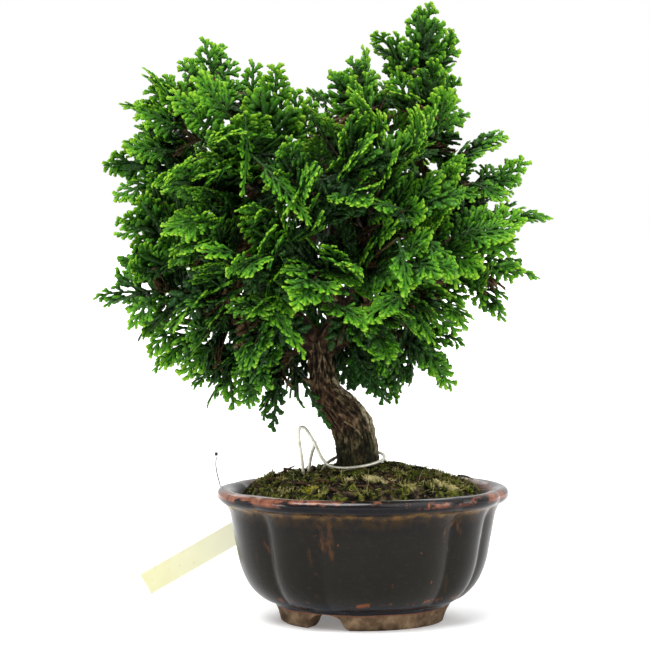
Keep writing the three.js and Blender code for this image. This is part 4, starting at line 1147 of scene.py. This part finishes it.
def groundAt(x, y):   # the top of the moss, before its small lumps
    cx, cy = ground["crownAt"]
    away = np.hypot(x - cx, y - cy) / ground["spread"]
    halfWide, halfDeep = ground["innerHalf"]
    inner = np.hypot((x - potAxis) / halfWide, y / halfDeep)
    level = (ground["edge"] + ground["mossThickness"] - 0.4
             - ground["edgeDrop"] * smoothRamp(inner, 0.9, 1.0)
             + (ground["crown"] - ground["edge"]) * np.maximum(0, 1 - away ** ground["fall"])
             + reliefAt(x, y, ground["relief"])
             + reliefAt(y * 1.7, x * 1.9, 1.0) * (1 - smoothRamp(inner, 0.8, 1.0)))
    for a, b, high, wide in ground["clumps"]:
        level = level + high * np.exp(-((x - a) ** 2 + (y - b) ** 2) / (wide * wide))
    return level


def patchAt(x, y):   # how dead the moss is at a place, and how yellow
    dead, yellow = np.zeros(np.shape(x)), np.zeros(np.shape(x))
    for a, b, wide, deep, tint in ground["deadPatches"]:
        here = 1 - smoothRamp(np.hypot((x - a) / wide, (y - b) / deep), 0.75, 1.15)
        dead, yellow = np.maximum(dead, here), np.maximum(yellow, here * tint)
    return {"dead": dead, "yellow": yellow}


def lumpAt(x, y):   # fine unevenness of grit and moss
    p = Vector((x, y, 3.0))
    cell = noise.voronoi(p * 0.5)[0][0]
    waves = 1.9 * noise.noise(p * 0.3) + 1.2 * noise.noise(p * 0.8) + 0.4 * noise.noise(p * 2)
    return waves + 1.1 * (0.45 - cell)


def addCushion(skin):
    degrees = around(ground["columns"], 360)
    share = (np.linspace(0.02, 1, ground["rings"]) ** 0.85)[:, None]
    x, y = lobePoint(ground["reach"] * share, share, degrees)
    fine = np.array([lumpAt(a, b) for a, b in zip(x.ravel(), y.ravel())]).reshape(x.shape)
    values = {"lump": fine, **patchAt(x, y)}
    z = groundAt(x, y) + fine * (1 - 0.5 * smoothRamp(share, 0.93, 1.0)) + 0.8 * values["dead"]
    rows = [stacked(x, y, z)]
    for part, level in ground["underside"]:
        rows.append(stacked(*lobePoint(ground["reach"] * part, 1.0, degrees), level)[None])
    below = np.zeros((len(rows) - 1, ground["columns"]))
    points = np.vstack(rows)[::-1]
    skin.add(points, *ringFaces(len(points), ground["columns"]),
             **{key: np.vstack([value, below])[::-1] for key, value in values.items()})


def addBlades(skin, roots, tips, radius, **values):   # many tapering blades at once, each bowed a little
    grow = tips - roots
    long = np.linalg.norm(grow, axis=1)[:, None]
    aside = np.cross(grow, np.array([0.31, 0.95, 0.05]))
    aside /= np.maximum(np.linalg.norm(aside, axis=1)[:, None], 1e-6)
    other = np.cross(grow / long, aside)
    rings = []
    for t, thick in ((0, 1.0), (0.55, 0.85), (1.0, 0.2)):
        middle = roots + grow * t + other * (long * 0.18 * 4 * t * (1 - t))
        for a in around(3):
            rings.append(middle + (aside * math.cos(a) + other * math.sin(a)) * (radius * thick)[:, None])
    eachPoint = {key: np.reshape(value, (-1, 1)) for key, value in values.items()}
    skin.addMany(np.stack(rings, axis=1), *ringFaces(3, 3), **eachPoint)


def scatter(rng, count, low, high):   # places on the ground, between two shares of the way to the edge
    share = np.sqrt(low ** 2 + (high ** 2 - low ** 2) * rng.random(count))
    return lobePoint(ground["reach"] * share, share, rng.random(count) * 360)


def onGround(x, y, lift=0.0):
    return stacked(x, y, groundAt(x, y) + lift)


def addTufts(skin, rng):   # of moss, light ones and dark ones
    many, each, spread = ground["tufts"], ground["bladesEach"], ground["bladeSpread"]
    tx, ty = scatter(rng, many, 0.12, 0.97)
    # the brighter tufts stand taller and the darkest stay low: partly the moss's own colour, partly painted
    # light on the tops and painted shade in the gaps
    bright = rng.random(many) ** 1.2
    lean = rng.normal(0, 0.5, (many, 2))
    tx, ty, bright, leanX, leanY = (np.repeat(a, each) for a in (tx, ty, bright, *lean.T))
    x, y = tx + rng.normal(0, spread, many * each), ty + rng.normal(0, spread, many * each)
    base = onGround(x, y, -0.4)
    rise = 0.5 + 1.1 * bright + 0.9 * rng.random(many * each)
    tip = base + stacked(leanX + 0.8 * (x - tx), leanY + 0.8 * (y - ty), rise)
    tone = np.clip(bright + rng.uniform(-0.11, 0.11, many * each), 0, 1)
    thick = rng.uniform(*ground["bladeThick"], many * each)
    addBlades(skin, base, tip, thick, tuft=1.0, tone=tone, **patchAt(x, y))


def addDeadBlades(skin, rng):   # in the dead patches, lying every way
    for a, b, wide, deep, tint in ground["deadPatches"]:
        many = int(ground["deadBladesDensity"] * wide * deep)
        x, y = a + wide * rng.normal(0, 0.4, many), b + deep * rng.normal(0, 0.4, many)
        base = onGround(x, y, rng.uniform(0, 0.3, many))
        tip = base + stacked(rng.normal(0, 1.5, many), rng.normal(0, 1.0, many), rng.uniform(0.5, 1.9, many))
        thick = rng.uniform(*ground["deadBladeThick"], many)
        addBlades(skin, base, tip, thick, tuft=1.0, tone=rng.random(many), dead=1.0, yellow=tint)


def addStems(skin, rng):   # hair-fine, more of them near the edge, which lean outwards
    many = ground["stems"]
    x, y = scatter(rng, many, 0.5, 0.97)
    base = onGround(x, y)
    high = rng.uniform(*ground["stemHigh"], many)
    outward = 0.014 * high
    aside, ahead = rng.normal(0, 1.5, many), rng.normal(0, 1.5, many)
    tip = base + stacked(x * outward + aside, y * outward + ahead, high)
    tone, dead = rng.random(many), (rng.random(many) < 0.5) * 0.8
    addBlades(skin, base, tip, np.full(many, ground["stemThick"]), tuft=1.0, tone=tone, dead=dead)


def addLitter(skin, rng, kind, **values):
    many, aside = kind["count"], kind["aside"]
    base = onGround(*scatter(rng, many, *kind["between"]), rng.uniform(*kind["lift"], many))
    x, y = rng.normal(0, aside, many), rng.normal(0, aside, many)
    tip = base + stacked(x, y, rng.normal(*kind["rise"], many))
    thick = rng.uniform(*kind["thick"], many)
    addBlades(skin, base, tip, thick, tone=rng.uniform(*kind["pale"], many), **values)


def makeGround(material):
    skin, rng = Skin(), np.random.default_rng(11)
    addCushion(skin)
    addTufts(skin, rng)
    addDeadBlades(skin, rng)
    addStems(skin, rng)
    addLitter(skin, rng, ground["straws"], tuft=1.0)
    addLitter(skin, rng, ground["crumbs"], bark=1.0)
    for a, b, c, d, low, high in ground["twigs"]:
        start, end = onGround(a, b, low), onGround(c, d, high)
        line = spline((start, (start + end) / 2 + (0.5, 0.4, 0.4), end), 10)
        thick = np.linspace(*ground["twigRadii"], 11)
        tube(skin, line, thick, 7, bark=1.0, tone=draw(int(a * 3 + b), 5))
    return skin.build("mossCushion", material, "moss", "moss")


def makeMossMaterial():
    material, n = newMaterial("mossAndGrit")
    place, lump = n.place(), n.value("lump")
    grit = n.grouped(speckle, {"Scale": 520.0, "Amount": 0.55})
    cells = n.add("ShaderNodeTexVoronoi", {"Vector": place, "Scale": 520.0}).outputs["Color"]
    crumb = n.add("ShaderNodeSeparateColor", {0: cells}).outputs[0]
    # the cushion between the tufts is coloured very dark: partly the soil's own colour, partly painted shade
    # in the gaps
    soil = n.ramp(n.plus(n.times(crumb, 0.5), n.times(n.noise(260, place, detail=6.0), 0.5)), [
        (0.3, (0.003, 0.002, 0.001)), (0.50, (0.030, 0.020, 0.010)), (0.68, (0.210, 0.145, 0.080))])
    cushion = n.noise(480, place, detail=5.0, rough=0.7)
    green = n.ramp(cushion, [
        (0.36, (0.004, 0.006, 0.001)), (0.48, (0.050, 0.060, 0.006)), (0.60, (0.260, 0.260, 0.035))])
    cover = n.plus(n.noise(60, place, detail=6.0, rough=0.65), n.times(lump, 0.10))
    colour = n.mix(n.ramp(cover, [(0.49, 0.0), (0.56, 1.0)]), soil, green)
    # painted shade: darker down in the low places between the lumps
    hollowShade = n.ramp(n.plus(n.times(lump, 0.25), 0.5), [(0.28, 0.92), (0.54, 0.0)])
    colour = n.mix(hollowShade, colour, (0.004, 0.003, 0.002))
    colour = n.mix(n.times(grit["Mask"], 0.5), colour, (0.008, 0.006, 0.004))
    # tufts from near-black to pale: partly moss colour, partly painted light and shade, as their tone
    # follows their height
    tufts = n.ramp(n.value("tone"), [
        (0.0, (0.003, 0.004, 0.001)), (0.3, (0.020, 0.023, 0.004)), (0.5, (0.105, 0.115, 0.013)),
        (0.65, (0.110, 0.190, 0.016)), (0.8, (0.32, 0.32, 0.050)), (1.0, (0.62, 0.54, 0.24))])
    colour = n.mix(n.value("tuft"), colour, tufts)
    straw = n.mix(n.value("yellow"), (0.86, 0.74, 0.38), (0.56, 0.52, 0.04))
    holes = n.ramp(n.noise(330, place, detail=5.0, rough=0.7), [(0.38, 0.7), (0.44, 0.0)])
    colour = n.mix(n.value("dead"), colour, n.mix(holes, straw, (0.05, 0.03, 0.015)))
    twigs = n.tones(n.noise(500, place, detail=4.0), (0.020, 0.010, 0.005), (0.20, 0.105, 0.055))
    n.shade({
        "Base Color": n.mix(n.value("bark"), colour, twigs),
        "Roughness": n.ramp(lump, [(0.0, 0.98), (1.0, 0.85)]), "Specular IOR Level": 0.2,
        "Normal": n.bump(n.plus(grit["Height"], n.times(cushion, 1.5)), 1.0, 0.0025)})
    return material


groundTriangles = makeGround(makeMossMaterial())
print("ground made:", groundTriangles)

# ---- wires and label

wires = {
    "tieWire": {
        "node": "tie_wire", "metal": "dullAluminium", "radius": 0.75, "steps": 120,
        "line": ((-27, -6, 60), (-27.2, -6, 70), (-29, -6, 84), (-28.5, -6.2, 88), (-26.6, -6.6, 88),
                 (-24, -7.2, 84.6), (-21.2, -8.2, 79.8), (-18.8, -9.4, 74.8), (-15.6, -10.6, 71.4),
                 (-10.6, -11.8, 70.2), (-3, -12.2, 70.6), (4, -9.8, 71.8), (8.8, -4.6, 73.2),
                 (9.6, 1.5, 74.6), (7, 7.8, 75.4), (0, 11.2, 75.2), (-7.4, 10.4, 74.4), (-12.4, 7, 73),
                 (-16.5, 4.4, 70.4), (-19, 3, 66), (-20, 2.5, 60)),
    },
    "tieWireStub": {
        "node": "tie_wire_stub", "metal": "dullAluminium", "radius": 0.75, "steps": 24,
        "line": ((-24.6, -2, 60), (-24.4, -2, 69), (-23.4, -2.6, 75), (-21.4, -3.6, 81.4)),
    },
    "labelWire": {
        "node": "label_wire", "metal": "tarnishedWire", "radius": 0.3, "steps": 70,
        "line": ((-31.2, 60.4, 48.2), (-31.5, 57.7, 48.4), (-34, 54.8, 48.6), (-42, 53.8, 47.2),
                 (-52, 53.4, 46.2), (-60, 52.2, 47.6), (-66.2, 50.2, 53.4), (-67.5, 49.8, 57.4),
                 (-68.4, 49.6, 61), (-69, 49.4, 65), (-68.8, 49.4, 69.3)),
    },
}
# each metal's darkest and lightest colour
metals = {
    "dullAluminium": ((0.50, 0.48, 0.38), (0.80, 0.78, 0.67)),
    "tarnishedWire": ((0.045, 0.042, 0.038), (0.15, 0.14, 0.13)),
}
# darkest and lightest colour, size of the grain, roughness, depth of the grain
plainMaterials = {
    "blackMesh": ((0.010, 0.010, 0.011), (0.022, 0.023, 0.024), 300, 0.5, 0.2),
    "potSoil": ((0.012, 0.009, 0.006), (0.055, 0.038, 0.024), 260, 0.9, 0.9),
    "blackSleeve": ((0.008, 0.008, 0.009), (0.02, 0.02, 0.022), 400, 0.45, 0.1),
}


def makeWire(name, spec, material):
    skin = Skin()
    line = spline(spec["line"], spec["steps"])
    ends = np.minimum(np.arange(len(line)), np.arange(len(line))[::-1])
    tube(skin, line, spec["radius"] * np.minimum(1, 0.75 + 0.25 * ends), 12)
    skin.build(name, material, "aluminium", spec["node"])


def makeMetal(name, dark, light):
    material, n = newMaterial(name)
    n.shade({
        "Metallic": 0.7, "Base Color": n.tones(n.noise(300, detail=4.0), dark, light),
        "Roughness": n.tones(n.noise(700), 0.32, 0.5),
        "Normal": n.bump(n.noise(500, stretch=(1, 1, 0.2)), 0.2, 0.0003)})
    return material


def makePlainMaterial(name, low, high, scale, rough, bumpStrength):
    material, n = newMaterial(name)
    n.shade({
        "Base Color": n.tones(n.noise(scale, detail=4.0), low, high),
        "Roughness": n.tones(n.noise(scale * 2), rough, rough + 0.12),
        "Normal": n.bump(n.noise(scale * 3), bumpStrength, 0.0003)})
    return material


def makeLabelMaterial():   # yellower towards the end that stood in the soil
    material, n = newMaterial("labelPlastic")
    whole = n.add("ShaderNodeTexCoord").outputs["Generated"]
    along = n.add("ShaderNodeSeparateXYZ", {0: whole}).outputs["X"]
    # lighter towards the end by the pot: painted light set against the pot's shadow; the yellow towards the
    # other end is the label's own staining
    colour = n.ramp(n.plus(along, n.swing(n.noise(70, detail=4.0), 0.3)), [
        (0.0, (0.60, 0.58, 0.33)), (0.35, (0.66, 0.65, 0.44)), (1.0, (0.76, 0.75, 0.66))])
    specks = n.ramp(n.noise(600), [(0.68, 0.0), (0.74, 0.5)])
    n.shade({
        "Base Color": n.mix(specks, colour, (0.30, 0.22, 0.10)),
        "Roughness": n.tones(n.noise(150), 0.45, 0.6),
        "Normal": n.bump(n.noise(400, stretch=(0.2, 1, 1)), 0.15, 0.0003)})
    return material


metalMaterials = {name: makeMetal(name, *tones) for name, tones in metals.items()}
for name, spec in wires.items():
    makeWire(name, spec, metalMaterials[spec["metal"]])
print("wires made")

plain = {name: makePlainMaterial(name, *values) for name, values in plainMaterials.items()}
carried = {
    "drain_mesh": plain["blackMesh"], "soil": plain["potSoil"], "plant_label": makeLabelMaterial(),
    "label_wire_cap": plain["blackSleeve"],
}
for name, material in carried.items():
    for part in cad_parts[name].material_slots:
        part.material = material
print("carried-over nodes finished")
print("triangles in all:", potTriangles + foliageTriangles + woodTriangles + groundTriangles)

bpy.context.view_layer.update()
